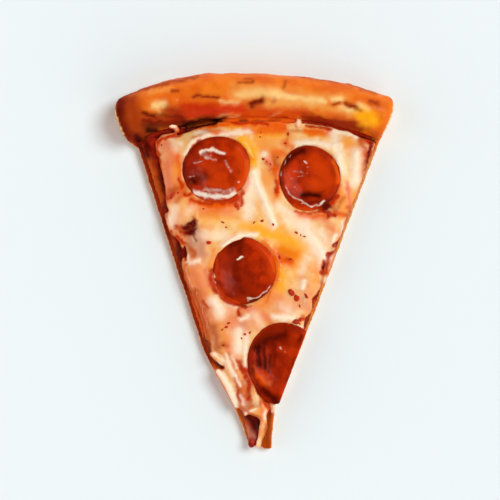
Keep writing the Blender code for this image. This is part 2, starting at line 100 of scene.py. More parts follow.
def ease(low: float, high: float, values: np.ndarray) -> np.ndarray:
    """Share of the way from low to high for each value, easing in and out.

    Args:
        low: Value at which the share is 0.
        high: Value at which the share is 1.
        values: Values to place between the two.

    Returns:
        One share from 0 to 1 for each value.
    """
    share = np.clip((values - low) / (high - low), 0.0, 1.0)
    return share * share * (3.0 - 2.0 * share)


def hump(values: np.ndarray, centre: float, half: float) -> np.ndarray:
    """Rounded hump of height 1 at the centre, half wide on each side."""
    return np.exp(-(((values - centre) / half) ** 2))


def lumps(places: np.ndarray, size: float, layer: float, octaves: int = 1) -> np.ndarray:
    """Smooth unevenness over a set of places.

    Args:
        places: Places in millimetres, one row each.
        size: How far apart the lumps are, in millimetres.
        layer: Number that sets one pattern apart from another.
        octaves: How many finer patterns are added on top.

    Returns:
        One height for each place, about -1 to 1.
    """
    shift = Vector((7.1 * layer, -3.3 * layer, 1.7 * layer))
    spots = (Vector(place) / size + shift for place in places)
    return np.array([noise.fractal(spot, 1.0, 2.0, octaves) for spot in spots])


def bubbles(places: np.ndarray, size: float, layer: float, reach: float) -> np.ndarray:
    """Round spots scattered over a set of places.

    Args:
        places: Places in millimetres, one row each.
        size: How far apart the spots are, in millimetres.
        layer: Number that sets one pattern apart from another.
        reach: Radius of the spots as a share of size.

    Returns:
        One share for each place: 1 in the middle of a spot and 0 outside.
    """
    shift = Vector((5.3 * layer, 2.9 * layer, -4.1 * layer))
    away = np.array([noise.voronoi(Vector(place) / size + shift)[0][0] for place in places])
    return np.clip(1.0 - (away / reach) ** 2, 0.0, 1.0)


def as_seen(places: np.ndarray) -> np.ndarray:
    """Move places to where they appear over the floor from the camera.

    Args:
        places: Places in millimetres, one row each.

    Returns:
        The moved places, with their heights as they were.
    """
    across, along, height = (places - (*VIEW_CENTRE, 0.0)).T
    rise, run = math.sin(VIEW_ELEVATION), math.cos(VIEW_ELEVATION)
    near = 1.0 - (height * rise - along * run) / VIEW_DISTANCE
    seen = np.stack((across / near, (along * rise + height * run) / near, height), axis=1)
    return seen + (*VIEW_CENTRE, 0.0)


@dataclass(frozen=True)
class Stroke:
    """Soft-edged stroke on the slice, in millimetres from the pizza's centre, as seen from the camera.

    Attributes:
        path: Places that it runs through. One place alone makes a dab.
        width: Distance to each side at which it has faded to about a third.
        strength: How strong it is along its middle.
    """

    path: tuple[Place, ...]
    width: float
    strength: float = 1.0

    def cover(self, places: np.ndarray) -> np.ndarray:
        """How much the stroke covers each place.

        Args:
            places: Places in millimetres, one row each.

        Returns:
            One share for each place.
        """
        nearest = np.full(len(places), np.inf)
        for start, end in zip(self.path, self.path[1:] or self.path):
            run = np.array(end) - np.array(start)
            length = max(float(run @ run), 1e-9)
            share = np.clip(((places[:, :2] - start) @ run) / length, 0.0, 1.0)
            away = np.linalg.norm(places[:, :2] - start - share[:, None] * run, axis=1)
            nearest = np.minimum(nearest, away)
        return self.strength * np.exp(-((nearest / self.width) ** 2))


class Tint(Enum):
    """Tints that strokes are painted in."""

    WARM = "warm"
    BLUSH = "blush"
    TAN = "tan"
    YELLOW = "yellow"
    OIL = "oil"
    # Pale cream colour, and also painted highlights, glare and glints
    PALE_AND_HIGHLIGHT = "pale"
    GREY = "grey"
    # Brown-red colour, and also painted shade on the shaded sides of the rim and the pepperoni
    RUST_AND_SHADE = "rust"
    RED = "red"
    # Burnt dark colour, and also painted shade in creases, holes, hollows and folds
    CHAR_AND_SHADE = "char"


@dataclass(frozen=True)
class Wash:
    """Strokes of one tint.

    Attributes:
        tint: The tint.
        strokes: Where it lies.
    """

    tint: Tint
    strokes: tuple[Stroke, ...]


@dataclass(frozen=True)
class Pigment:
    """Look of one tint on one kind of food.

    Attributes:
        tint: The tint.
        colour: Its colour.
        ragged: Whether its patches end in ragged edges and not softly.
    """

    tint: Tint
    colour: Colour
    ragged: bool = False


def layer_strokes(places: np.ndarray, strokes: tuple[Stroke, ...]) -> np.ndarray:
    """Lay strokes over each other so that together they cover no more than fully.

    Args:
        places: Places in millimetres, one row each.
        strokes: The strokes to lay.

    Returns:
        One share from 0 to 1 for each place.
    """
    bare = np.ones(len(places))
    for stroke in strokes:
        bare *= 1.0 - np.clip(stroke.cover(places), 0.0, 1.0)
    return 1.0 - bare


def add_strokes(places: np.ndarray, strokes: tuple[Stroke, ...]) -> np.ndarray:
    """Add up strokes whose strengths are heights or depths in millimetres.

    Args:
        places: Places in millimetres, one row each.
        strokes: The strokes to add.

    Returns:
        One height for each place.
    """
    return sum((stroke.cover(places) for stroke in strokes), np.zeros(len(places)))


class Value:
    """Number socket of a material that does arithmetic by adding Math nodes."""

    def __init__(self, finish: "Surface", socket: bpy.types.NodeSocket) -> None:
        """Keep the material and the socket."""
        self.finish = finish
        self.socket = socket

    def __add__(self, other: Number) -> "Value":
        """Sum of the two."""
        return self.finish.math("ADD", self, other)

    def __sub__(self, other: Number) -> "Value":
        """This less the other."""
        return self.finish.math("SUBTRACT", self, other)

    def __rsub__(self, other: Number) -> "Value":
        """The other less this."""
        return self.finish.math("SUBTRACT", other, self)

    def __mul__(self, other: Number) -> "Value":
        """Product of the two."""
        return self.finish.math("MULTIPLY", self, other)

    __radd__ = __add__
    __rmul__ = __mul__


class Surface:
    """Material that is built node by node round one Principled shader."""

    def __init__(self, name: str) -> None:
        """Start a material.

        Args:
            name: Its name.
        """
        self.material = bpy.data.materials.new(name)
        self.material.use_nodes = True
        self.nodes = self.material.node_tree.nodes
        self.links = self.material.node_tree.links
        self.shader = self.nodes["Principled BSDF"]

    def node(self, kind: str, settings: dict, sockets: dict) -> bpy.types.Node:
        """Add a node.

        Args:
            kind: The node's type.
            settings: Its settings by name, set first.
            sockets: Values or links of its inputs, by name or number.

        Returns:
            The node.
        """
        made = self.nodes.new(kind)
        for name, value in settings.items():
            setattr(made, name, value)
        for name, value in sockets.items():
            self.feed(made.inputs[name], value)
        return made

    def feed(self, socket: bpy.types.NodeSocket, value: object) -> None:
        """Link a value to a socket, or set the socket to a plain number or colour.

        Args:
            socket: The input to feed.
            value: A Value, a socket, a number or a colour.
        """
        if isinstance(value, Value):
            value = value.socket
        if isinstance(value, bpy.types.NodeSocket):
            self.links.new(value, socket)
        elif isinstance(value, tuple) and socket.type == "RGBA":
            socket.default_value = (*value[:3], 1.0)
        else:
            socket.default_value = value

    def math(self, operation: str, first: Number, second: Number) -> Value:
        """Number worked out from two others by one Math node."""
        made = self.node("ShaderNodeMath", {"operation": operation}, {0: first, 1: second})
        return Value(self, made.outputs[0])

    def between(self, value: Number, low: float, high: float) -> Value:
        """Share of the way from low to high, easing in and out.

        Args:
            value: The number to place.
            low: Number at which the share is 0.
            high: Number at which the share is 1.

        Returns:
            The share, from 0 to 1.
        """
        settings = {"interpolation_type": "SMOOTHSTEP"}
        sockets = {"Value": value, "From Min": low, "From Max": high}
        return Value(self, self.node("ShaderNodeMapRange", settings, sockets).outputs[0])

    def painted(self, name: str) -> Value:
        """Share painted on the piece under that name."""
        made = self.node("ShaderNodeAttribute", {"attribute_name": name}, {})
        return Value(self, made.outputs["Fac"])

    def place(self) -> bpy.types.NodeSocket:
        """Place on the piece, in metres."""
        return self.node("ShaderNodeTexCoord", {}, {}).outputs["Object"]

    def cloud(self, size: float, detail: float, roughness: float = 0.5) -> Value:
        """Cloudy pattern.

        Args:
            size: How far apart its lumps are, in metres.
            detail: How many finer patterns are added.
            roughness: How strong the finer patterns are.

        Returns:
            The pattern, about 0 to 1.
        """
        sockets = {"Vector": self.place(), "Scale": 1.0 / size, "Detail": detail}
        sockets["Roughness"] = roughness
        return Value(self, self.node("ShaderNodeTexNoise", {}, sockets).outputs[0])

    def mix(self, share: Number, first: object, second: object) -> bpy.types.NodeSocket:
        """Colour a share of the way from the first to the second.

        Args:
            share: 0 for the first colour, 1 for the second.
            first: A colour or a colour socket.
            second: A colour or a colour socket.

        Returns:
            The mixed colour's socket.
        """
        settings = {"data_type": "RGBA"}
        return self.node("ShaderNodeMix", settings, {0: share, 6: first, 7: second}).outputs[2]

    def lay(self, base: object, pigments: tuple[Pigment, ...]) -> bpy.types.NodeSocket:
        """Lay the painted tints over a base, one after the other.

        Args:
            base: The colour under them.
            pigments: How each tint looks.

        Returns:
            The last colour's socket.
        """
        grain = self.cloud(0.0016, 3.0, 0.6) - 0.5
        for pigment in pigments:
            share = self.painted(pigment.tint.value)
            if pigment.ragged:
                share = self.between(share + grain * RAGGED_GRAIN, *RAGGED_ENDS)
            base = self.mix(share, base, pigment.colour)
        return base

    def relief(self, height: Number, depth: float, strength: float) -> bpy.types.NodeSocket:
        """Fine relief as a normal.

        Args:
            height: The relief, 0 to 1.
            depth: How deep 1 is, in metres.
            strength: How much of it shows.

        Returns:
            The normal's socket.
        """
        sockets = {"Strength": strength, "Distance": depth, "Height": height}
        return self.node("ShaderNodeBump", {}, sockets).outputs[0]

    def finish(self, **sockets: object) -> bpy.types.Material:
        """Feed the shader and give the material.

        Args:
            sockets: Values of the shader's inputs, with _ for a space.

        Returns:
            The finished material.
        """
        for name, value in sockets.items():
            self.feed(self.shader.inputs[name.replace("_", " ")], value)
        return self.material


def node_copy(node: str) -> bmesh.types.BMesh:
    """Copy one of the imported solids.

    Args:
        node: The solid's name.

    Returns:
        A closed mesh whose points are merged.
    """
    body = bmesh.new()
    body.from_mesh(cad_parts[node].data)
    bmesh.ops.remove_doubles(body, verts=body.verts, dist=MERGE_DISTANCE)
    return body


def bead(place: Place, height: float, size: tuple[float, float, float]) -> bmesh.types.BMesh:
    """Rounded bead on the slice.

    Args:
        place: Where it lies, in millimetres from the pizza's centre.
        height: Height of its middle, in millimetres.
        size: Its half sizes along x, y and z, in millimetres.

    Returns:
        The bead as a closed mesh.
    """
    body = bmesh.new()
    bmesh.ops.create_icosphere(body, subdivisions=3, radius=MM)
    bmesh.ops.scale(body, vec=Vector(size), verts=body.verts)
    middle = (PIZZA_CENTRE[0] + place[0] * MM, PIZZA_CENTRE[1] + place[1] * MM, height * MM)
    bmesh.ops.translate(body, vec=middle, verts=body.verts)
    return body


@dataclass(frozen=True)
class Strand:
    """Drawn-out strand of cheese or seam of sauce, in millimetres from the pizza's centre.

    Attributes:
        stops: Places along it, each with the height and the radius there.
    """

    stops: tuple[tuple[float, float, float, float], ...]

    def beads(self) -> list[bmesh.types.BMesh]:
        """Line up the beads that melt into one.

        Returns:
            Closed beads that overlap.
        """
        made = []
        for first, second in zip(self.stops, self.stops[1:]):
            start, end = Vector(first), Vector(second)
            steps = max(int((end - start).length / (BEAD_STEP * min(first[3], second[3]))), 1)
            for step in range(steps + 1):
                x, y, z, radius = start.lerp(end, step / steps)
                made.append(bead((x, y), z, (radius, radius, radius)))
        return made


class Form:
    """Closed fine mesh that is modelled by moving its points, in millimetres."""

    def __init__(self, name: str, bodies: list[bmesh.types.BMesh], grain: float) -> None:
        """Melt closed bodies together under one even skin.

        Args:
            name: The piece's name.
            bodies: The bodies, which are freed.
            grain: Size of the skin's faces, in millimetres.
        """
        joined = bmesh.new()
        for body in bodies:
            part = bpy.data.meshes.new(name)
            body.to_mesh(part)
            body.free()
            joined.from_mesh(part)
            bpy.data.meshes.remove(part)
        rough = bpy.data.meshes.new(name)
        joined.to_mesh(rough)
        joined.free()
        helper = bpy.data.objects.new(name, rough)
        bpy.context.scene.collection.objects.link(helper)
        remesh = helper.modifiers.new("Skin", "REMESH")
        remesh.mode = "VOXEL"
        remesh.voxel_size = grain * MM
        evaluated = helper.evaluated_get(bpy.context.evaluated_depsgraph_get())
        self.mesh = bpy.data.meshes.new_from_object(evaluated)
        bpy.data.objects.remove(helper)
        bpy.data.meshes.remove(rough)
        self.name = name
        self.mesh.name = name

    def relax(self, passes: int) -> None:
        """Smooth the skin.

        Args:
            passes: How many times.
        """
        body = bmesh.new()
        body.from_mesh(self.mesh)
        for _ in range(passes):
            bmesh.ops.smooth_vert(
                body, verts=body.verts, factor=0.5, use_axis_x=True, use_axis_y=True, use_axis_z=True
            )
        body.to_mesh(self.mesh)
        body.free()

    def places(self) -> np.ndarray:
        """Read the places of the points.

        Returns:
            Places in millimetres from the pizza's centre on the table, one row each.
        """
        flat = np.empty(3 * len(self.mesh.vertices), np.float32)
        self.mesh.vertices.foreach_get("co", flat)
        return (flat.reshape(-1, 3) - (*PIZZA_CENTRE, 0.0)) / MM

    def normals(self) -> np.ndarray:
        """Read the outward directions at the points.

        Returns:
            One direction of length 1 a row.
        """
        flat = np.empty(3 * len(self.mesh.vertices), np.float32)
        self.mesh.vertices.foreach_get("normal", flat)
        return flat.reshape(-1, 3).astype(float)

    def move_to(self, places: np.ndarray) -> None:
        """Move the points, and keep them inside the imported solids' box.

        Args:
            places: New places in millimetres from the pizza's centre on the table.
        """
        metres = places * MM + (*PIZZA_CENTRE, 0.0)
        metres = np.clip(metres, np.array(CAD_BOX[0]), np.array(CAD_BOX[1]))
        self.mesh.vertices.foreach_set("co", metres.astype(np.float32).ravel())
        self.mesh.update()

    def paint(self, name: str, shares: np.ndarray) -> None:
        """Paint a share on every point under a name."""
        made = self.mesh.attributes.new(name, "FLOAT", "POINT")
        made.data.foreach_set("value", np.clip(shares, 0.0, 1.0).astype(np.float32))

    def wash(self, washes: tuple[Wash, ...], places: np.ndarray, bare: np.ndarray | float) -> None:
        """Paint washes with slightly wandering edges.

        Args:
            washes: The washes.
            places: Places of the points, in millimetres.
            bare: How much of the paint each point takes.
        """
        wander = as_seen(places)
        wander[:, 0] += WANDER * lumps(places, WANDER_SIZE, 9.0, 2)
        wander[:, 1] += WANDER * lumps(places, WANDER_SIZE, 10.0, 2)
        for wash in washes:
            self.paint(wash.tint.value, layer_strokes(wander, wash.strokes) * bare)

    def dress(self, material: bpy.types.Material, node: str) -> bpy.types.Object:
        """Turn the form into a finished piece.

        Args:
            material: Its finish.
            node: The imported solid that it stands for.

        Returns:
            The piece's object.
        """
        self.mesh.materials.clear()
        self.mesh.materials.append(material)
        self.mesh.shade_smooth()
        piece = bpy.data.objects.new(self.name, self.mesh)
        bpy.context.scene.collection.objects.link(piece)
        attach(piece, "root")
        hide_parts(node)
        LOG.info("%s: %d points", self.name, len(self.mesh.vertices))
        return piece


class Slot(Enum):
    """Material slots of the record."""

    DOUGH = "dough"
    SAUCE = "sauce"
    CHEESE = "cheese"
    PEPPERONI = "pepperoni"


@dataclass(frozen=True)
class CrustFinish:
    """Baked dough: browned oily rim skin, pale crumb where cut, painted crest highlight and crease shade."""

    gold: Colour = srgb(236, 118, 22)
    orange: Colour = srgb(224, 98, 14)
    freckle: Colour = srgb(176, 40, 4)
    pigments: tuple[Pigment, ...] = (
        Pigment(Tint.TAN, srgb(240, 160, 72)),
        # Pale paint: a painted highlight along the rim's crest and painted glints on its skin
        Pigment(Tint.PALE_AND_HIGHLIGHT, srgb(250, 204, 128)),
        Pigment(Tint.YELLOW, srgb(255, 172, 14)),
        Pigment(Tint.RED, srgb(204, 44, 2)),
        # Rust paint: brown skin, and painted shade on the rim's left end and along its foot
        Pigment(Tint.RUST_AND_SHADE, srgb(140, 28, 1)),
        Pigment(Tint.OIL, srgb(160, 60, 4)),
        # Char paint: scorched spots, and painted shadow in the crease at the rim's foot and under its left
        # end
        Pigment(Tint.CHAR_AND_SHADE, srgb(52, 3, 0)),
    )
    crumb: Colour = srgb(244, 206, 142)
    pore: Colour = srgb(200, 126, 62)
    under: Colour = srgb(212, 140, 70)
    scorch: Colour = srgb(104, 44, 14)
    flour: Colour = srgb(242, 218, 182)

    def material(self) -> bpy.types.Material:
        """Build the material.

        Returns:
            The finished material.
        """
        s = Surface("baked_dough")
        skin = s.mix(s.between(s.cloud(0.010, 3.0), 0.38, 0.62), self.orange, self.gold)
        specks = s.between(s.cloud(0.0016, 4.0, 0.7), 0.60, 0.72) * 0.3
        skin = s.mix(specks, skin, self.freckle)
        skin = s.lay(skin, self.pigments)
        base = s.mix(s.between(s.cloud(0.006, 4.0), 0.35, 0.7), self.under, self.flour)
        base = s.mix(s.between(s.cloud(0.012, 3.0), 0.54, 0.68) * 0.8, base, self.scorch)
        whole = s.mix(s.painted("under"), skin, base)
        inside = s.mix(s.between(s.cloud(0.0012, 4.0), 0.4, 0.7), self.crumb, self.pore)
        whole = s.mix(s.painted("crumb"), whole, inside)
        dark = s.painted(Tint.RUST_AND_SHADE.value) + s.painted(Tint.CHAR_AND_SHADE.value)
        dull = s.between(s.painted("crumb") + s.painted("under") + 0.8 * dark, 0.0, 1.0)
        fine = s.cloud(0.0009, 4.0, 0.65) * 0.6 + s.cloud(0.004, 2.0) * 0.4
        return s.finish(
            Base_Color=whole,
            Roughness=0.34 + 0.12 * s.cloud(0.005, 2.0) + 0.3 * dull,
            Specular_IOR_Level=0.05,
            Coat_Weight=0.08 * (1.0 - dull),
            Coat_Roughness=0.13,
            Subsurface_Weight=0.05,
            Subsurface_Radius=(1.0, 0.35, 0.12),
            Subsurface_Scale=0.0018,
            Normal=s.relief(fine, 0.0006, 0.6),
        )


@dataclass(frozen=True)
class SauceFinish:
    """Moist tomato sauce, orange-brown and oily where it has baked thin."""

    deep: Colour = srgb(104, 10, 1)
    bright: Colour = srgb(160, 30, 3)
    pigments: tuple[Pigment, ...] = (
        Pigment(Tint.TAN, srgb(198, 84, 18)),
        Pigment(Tint.BLUSH, srgb(212, 128, 100)),
        Pigment(Tint.RED, srgb(196, 40, 6)),
        Pigment(Tint.OIL, srgb(240, 92, 8)),
        # Char paint: burnt sauce, and painted shade in the crease, beside holes and in the hollow at the tip
        Pigment(Tint.CHAR_AND_SHADE, srgb(66, 4, 0)),
    )

    def material(self) -> bpy.types.Material:
        """Build the material.

        Returns:
            The finished material.
        """
        s = Surface("tomato_sauce")
        wet = s.mix(s.between(s.cloud(0.0028, 4.0), 0.35, 0.7), self.deep, self.bright)
        return s.finish(
            Base_Color=s.lay(wet, self.pigments),
            Roughness=0.26 + 0.25 * s.cloud(0.003, 2.0),
            Specular_IOR_Level=0.04,
            Coat_Weight=0.12,
            Coat_Roughness=0.12,
            Subsurface_Weight=0.05,
            Subsurface_Radius=(1.0, 0.2, 0.1),
            Subsurface_Scale=0.0015,
            Normal=s.relief(s.cloud(0.0012, 4.0, 0.6), 0.0006, 0.7),
        )


@dataclass(frozen=True)
class CheeseFinish:
    """Melted cheese: cream, with orange oil, pink where sauce shows through, and baked spots."""

    cream: Colour = srgb(252, 205, 142)
    warm: Colour = srgb(245, 174, 94)
    thin: Colour = srgb(206, 92, 36)
    pigments: tuple[Pigment, ...] = (
        Pigment(Tint.WARM, srgb(244, 146, 58)),
        Pigment(Tint.BLUSH, srgb(233, 116, 76)),
        Pigment(Tint.TAN, srgb(190, 80, 22)),
        Pigment(Tint.GREY, srgb(196, 140, 112)),
        Pigment(Tint.YELLOW, srgb(255, 172, 30)),
        Pigment(Tint.OIL, srgb(238, 92, 0)),
        # Pale paint: cream cheese, and painted highlights on ridges and lips
        Pigment(Tint.PALE_AND_HIGHLIGHT, srgb(254, 228, 200)),
        Pigment(Tint.RED, srgb(190, 46, 6), True),
        # Char paint: a dark baked clump, and painted shade in holes and at pepperoni edges
        Pigment(Tint.CHAR_AND_SHADE, srgb(92, 8, 1), True),
    )

    def material(self) -> bpy.types.Material:
        """Build the material.

        Returns:
            The finished material.
        """
        s = Surface("melted_cheese")
        body = s.mix(s.between(s.cloud(0.006, 3.0), 0.35, 0.65), self.cream, self.warm)
        body = s.lay(body, self.pigments)
        body = s.mix(s.painted("thin") * 0.85, body, self.thin)
        dark = s.painted(Tint.CHAR_AND_SHADE.value) + s.painted(Tint.RED.value)
        return s.finish(
            Base_Color=body,
            Roughness=0.25 + 0.2 * s.cloud(0.004, 3.0),
            Specular_IOR_Level=0.05,
            Coat_Weight=0.2 * (1.0 - s.between(dark, 0.2, 0.7)),
            Coat_Roughness=0.09,
            Subsurface_Weight=0.2,
            Subsurface_Radius=(1.0, 0.45, 0.18),
            Subsurface_Scale=0.0018,
            Normal=s.relief(s.cloud(0.0016, 3.0, 0.55), 0.0005, 0.5),
        )


@dataclass(frozen=True)
class PepperoniFinish:
    """Oily cured sausage with a darker crisped edge, flecks of fat, painted shade and painted glints."""

    meat: Colour = srgb(190, 46, 3)
    deep: Colour = srgb(150, 30, 2)
    fat: Colour = srgb(220, 104, 44)
    pigments: tuple[Pigment, ...] = (
        # Rust paint: crisped edge, and painted shade on the upper-left side
        Pigment(Tint.RUST_AND_SHADE, srgb(128, 24, 2)),
        # Lighter red, which on the right side of each pepperoni is painted light
        Pigment(Tint.RED, srgb(212, 62, 6)),
        Pigment(Tint.OIL, srgb(226, 88, 2)),
        # Char paint: painted shade in folds, at the cup's upper left and along its edge
        Pigment(Tint.CHAR_AND_SHADE, srgb(62, 3, 0)),
        # Pale paint: painted glare and glints
        Pigment(Tint.PALE_AND_HIGHLIGHT, srgb(240, 218, 196), True),
    )

    def material(self) -> bpy.types.Material:
        """Build the material.

        Returns:
            The finished material.
        """
        s = Surface("cured_pepperoni")
        body = s.mix(s.between(s.cloud(0.005, 3.0), 0.35, 0.65), self.meat, self.deep)
        flecks = s.between(s.cloud(0.0018, 4.0, 0.6), 0.62, 0.74) * 0.3
        body = s.mix(flecks, body, self.fat)
        return s.finish(
            Base_Color=s.lay(body, self.pigments),
            Roughness=0.22 + 0.2 * s.cloud(0.002, 3.0),
            Specular_IOR_Level=0.03,
            Coat_Weight=0.03,
            Coat_Roughness=0.12,
            Subsurface_Weight=0.04,
            Subsurface_Radius=(1.0, 0.2, 0.1),
            Subsurface_Scale=0.0012,
            Normal=s.relief(s.cloud(0.0011, 4.0, 0.6), 0.0004, 0.3),
        )


@dataclass(frozen=True)
class FlakeFinish:
    """Dried pepper and herb flakes, dark red to brown."""

    red: Colour = srgb(200, 40, 5)
    brown: Colour = srgb(162, 44, 8)

    def material(self) -> bpy.types.Material:
        """Build the material.

        Returns:
            The finished material.
        """
        s = Surface("dried_flakes")
        body = s.mix(s.painted("shade"), self.red, self.brown)
        rough = s.cloud(0.0005, 2.0)
        return s.finish(
            Base_Color=body,
            Roughness=0.45 + 0.2 * rough,
            Specular_IOR_Level=0.1,
            Coat_Weight=0.1,
        )


CRUST_WASHES = (
    # Tan: along the crest a lighter band that is partly painted highlight, and golden dough at the edges
    Wash(
        Tint.TAN,
        (
            Stroke(((-10.0, 168.5), (8.0, 169.3)), 3.4, 0.8),
            Stroke(((20.0, 168.5), (40.0, 167.3)), 2.2, 0.5),
            Stroke(((4.0, 164.3), (24.0, 164.0)), 2.0, 0.9),
            Stroke(((-50.0, 169.8), (-40.0, 171.5)), 1.4, 0.5),
            Stroke(((-12.0, 173.0), (0.0, 171.5), (20.0, 171.0)), 1.6, 0.35),
            Stroke(((24.0, 163.6), (34.0, 162.0), (45.0, 159.4)), 1.8, 0.7),
            Stroke(((53.5, 145.0), (44.0, 120.0), (33.0, 90.0), (22.0, 60.0)), 2.0, 0.8),
        ),
    ),
    # Painted highlight along the rim's crest and painted glints on its skin, and pale dough along the right
    # edge
    Wash(
        Tint.PALE_AND_HIGHLIGHT,
        (
            Stroke(((-47.6, 163.4), (-43.4, 164.0)), 1.7, 1.0),
            Stroke(((-46.0, 161.6), (-45.2, 160.0)), 0.9, 0.4),
            Stroke(((-9.0, 168.3), (0.0, 169.3), (8.0, 168.8)), 2.0, 0.7),
            Stroke(((8.0, 168.0), (20.0, 166.6), (29.0, 165.4)), 1.6, 0.85),
            Stroke(((14.6, 167.4), (16.2, 167.2)), 1.2, 1.0),
            Stroke(((29.0, 165.5), (31.0, 165.1)), 1.0, 1.0),
            Stroke(((34.5, 166.6), (38.0, 166.3)), 1.2, 1.0),
            Stroke(((-17.5, 165.0), (-13.8, 164.8)), 0.9, 1.0),
            Stroke(((-12.5, 164.9), (-9.3, 164.6)), 1.1, 1.0),
            Stroke(((-19.0, 158.5), (-12.5, 159.9)), 0.8, 1.0),
            Stroke(((-14.0, 157.2), (-8.6, 158.6)), 0.8, 0.8),
            Stroke(((41.0, 161.3), (43.5, 160.9)), 0.9, 1.0),
            Stroke(((46.6, 163.4), (50.0, 161.3)), 1.6, 0.95),
            Stroke(((38.0, 162.3), (46.0, 160.6)), 1.1, 0.7),
            Stroke(((3.5, 157.4), (9.6, 160.2)), 0.7, 0.6),
            Stroke(((52.5, 141.0), (47.0, 126.0), (40.0, 106.0), (32.0, 84.0)), 1.2, 0.6),
        ),
    ),
    Wash(
        Tint.YELLOW,
        (
            Stroke(((47.5, 158.6), (53.0, 156.5), (48.5, 154.6)), 3.0, 1.0),
            Stroke(((46.0, 161.0), (52.0, 160.0)), 2.2, 0.5),
        ),
    ),
    Wash(
        Tint.RED,
        (
            Stroke(((-34.0, 163.0), (-20.0, 161.5), (-8.0, 162.0)), 3.2, 0.95),
            Stroke(((-38.0, 158.5), (-20.0, 160.5)), 2.4, 0.85),
            Stroke(((-7.0, 160.0), (8.0, 160.3), (22.0, 160.0)), 2.3, 0.62),
            Stroke(((-16.0, 156.5), (0.0, 157.4), (16.0, 156.6)), 1.5, 0.6),
            Stroke(((-32.0, 155.0), (-20.0, 157.0)), 1.2, 0.6),
        ),
    ),
    # Brown-red skin and dark streaks, with painted shade on the rim's left end and along the rim's foot
    Wash(
        Tint.RUST_AND_SHADE,
        (
            Stroke(((-63.5, 166.0), (-64.0, 158.0), (-60.0, 149.0)), 4.2, 1.0),
            Stroke(((-58.0, 165.0), (-56.0, 156.0), (-53.0, 150.0)), 4.2, 0.75),
            Stroke(((-42.0, 161.4), (-37.0, 160.4)), 2.7, 0.8),
            Stroke(((-45.0, 158.0), (-34.0, 157.0)), 1.8, 0.7),
            Stroke(((-50.0, 155.6), (-42.0, 155.4), (-35.0, 156.0)), 1.8, 0.95),
            Stroke(((-53.5, 160.3), (-46.5, 157.6)), 1.2, 1.0),
            Stroke(((-53.0, 156.9), (-49.5, 156.5)), 1.3, 1.0),
            Stroke(((-29.5, 167.8), (-18.0, 167.2)), 0.9, 1.0),
            Stroke(((-39.4, 170.1), (-37.0, 170.1)), 0.9, 0.8),
            Stroke(((-60.0, 168.6), (-50.0, 171.8), (-38.0, 174.8), (-28.0, 176.4)), 0.9, 0.7),
            Stroke(((20.0, 176.8), (36.0, 174.6), (46.0, 172.4), (54.0, 168.6)), 0.9, 0.5),
            Stroke(((11.6, 171.5), (12.6, 174.2)), 0.9, 0.6),
            Stroke(((21.5, 158.2), (30.0, 156.6), (44.0, 155.0)), 2.0, 0.85),
            Stroke(((-0.5, 155.9), (5.0, 155.8), (9.0, 156.6), (13.0, 157.8)), 0.8, 0.7),
            Stroke(((7.0, 165.0), (8.0, 166.6)), 1.0, 0.5),
            Stroke(((-9.5, 173.8), (-2.0, 174.3)), 0.7, 0.7),
            Stroke(((-6.0, 175.7), (-3.0, 175.8)), 0.6, 0.6),
            Stroke(((35.0, 164.4), (37.6, 164.2)), 0.8, 0.9),
            Stroke(((40.5, 164.6), (42.0, 163.4), (44.5, 162.4)), 1.2, 1.0),
            Stroke(((44.0, 163.0), (47.6, 161.0)), 0.7, 0.6),
            Stroke(((51.5, 165.4), (55.0, 164.3)), 1.0, 0.7),
            Stroke(((-3.2, 163.6), (1.4, 165.8)), 1.8, 1.0),
            Stroke(((54.6, 146.0), (45.0, 120.0), (34.0, 90.0), (23.0, 60.0)), 1.2, 0.5),
            Stroke(((-34.0, 160.5), (-22.0, 163.0)), 3.0, 0.25),
            Stroke(((-56.2, 148.0), (-47.0, 122.0), (-39.4, 96.0), (-30.4, 68.0), (-22.6, 46.0)), 2.8, 1.0),
            Stroke(((24.0, 156.4), (34.0, 154.6), (47.0, 152.4)), 2.0, 0.9),
            Stroke(((52.0, 165.0), (59.0, 163.5)), 1.6, 0.25),
            Stroke(((49.0, 153.0), (54.0, 150.0)), 1.4, 0.5),
        ),
    ),
    Wash(
        Tint.OIL,
        (
            Stroke(((4.6, 24.0), (4.6, 15.0), (4.2, 5.0)), 2.8, 1.0),
            Stroke(((-9.0, 22.0), (-4.0, 8.0)), 1.6, 0.6),
        ),
    ),
    # Scorched spots, and painted shadow in the crease along the rim's foot and under the rim's left end
    Wash(
        Tint.CHAR_AND_SHADE,
        (
            Stroke(((-33.5, 154.2), (-29.0, 156.0), (-22.0, 157.2), (-16.0, 157.0)), 1.9, 1.0),
            Stroke(((-52.0, 154.6), (-42.0, 153.6), (-35.0, 154.8)), 2.0, 0.65),
            Stroke(((-50.5, 151.8), (-47.0, 151.4)), 2.2, 1.0),
            Stroke(((-56.0, 149.0), (-52.5, 144.0)), 2.0, 0.9),
            Stroke(((-65.0, 161.0),), 1.6, 0.6),
            Stroke(((-63.5, 166.0), (-64.0, 158.0), (-60.5, 150.0)), 3.0, 0.45),
            Stroke(((-8.4, 156.6), (-4.6, 156.4)), 1.1, 1.0),
            Stroke(((-3.2, 163.6), (1.4, 165.8)), 1.1, 0.4),
            Stroke(((28.0, 155.2), (33.0, 154.3)), 1.1, 0.3),
            Stroke(((-47.0, 159.6), (-35.0, 158.0)), 0.9, 0.5),
            Stroke(((-53.0, 160.2), (-48.5, 158.6)), 0.7, 0.5),
            Stroke(((-53.0, 143.0), (-47.0, 127.0)), 1.2, 0.5),
            Stroke(((2.4, 13.0), (1.4, 7.6)), 0.8, 0.8),
        ),
    ),
)

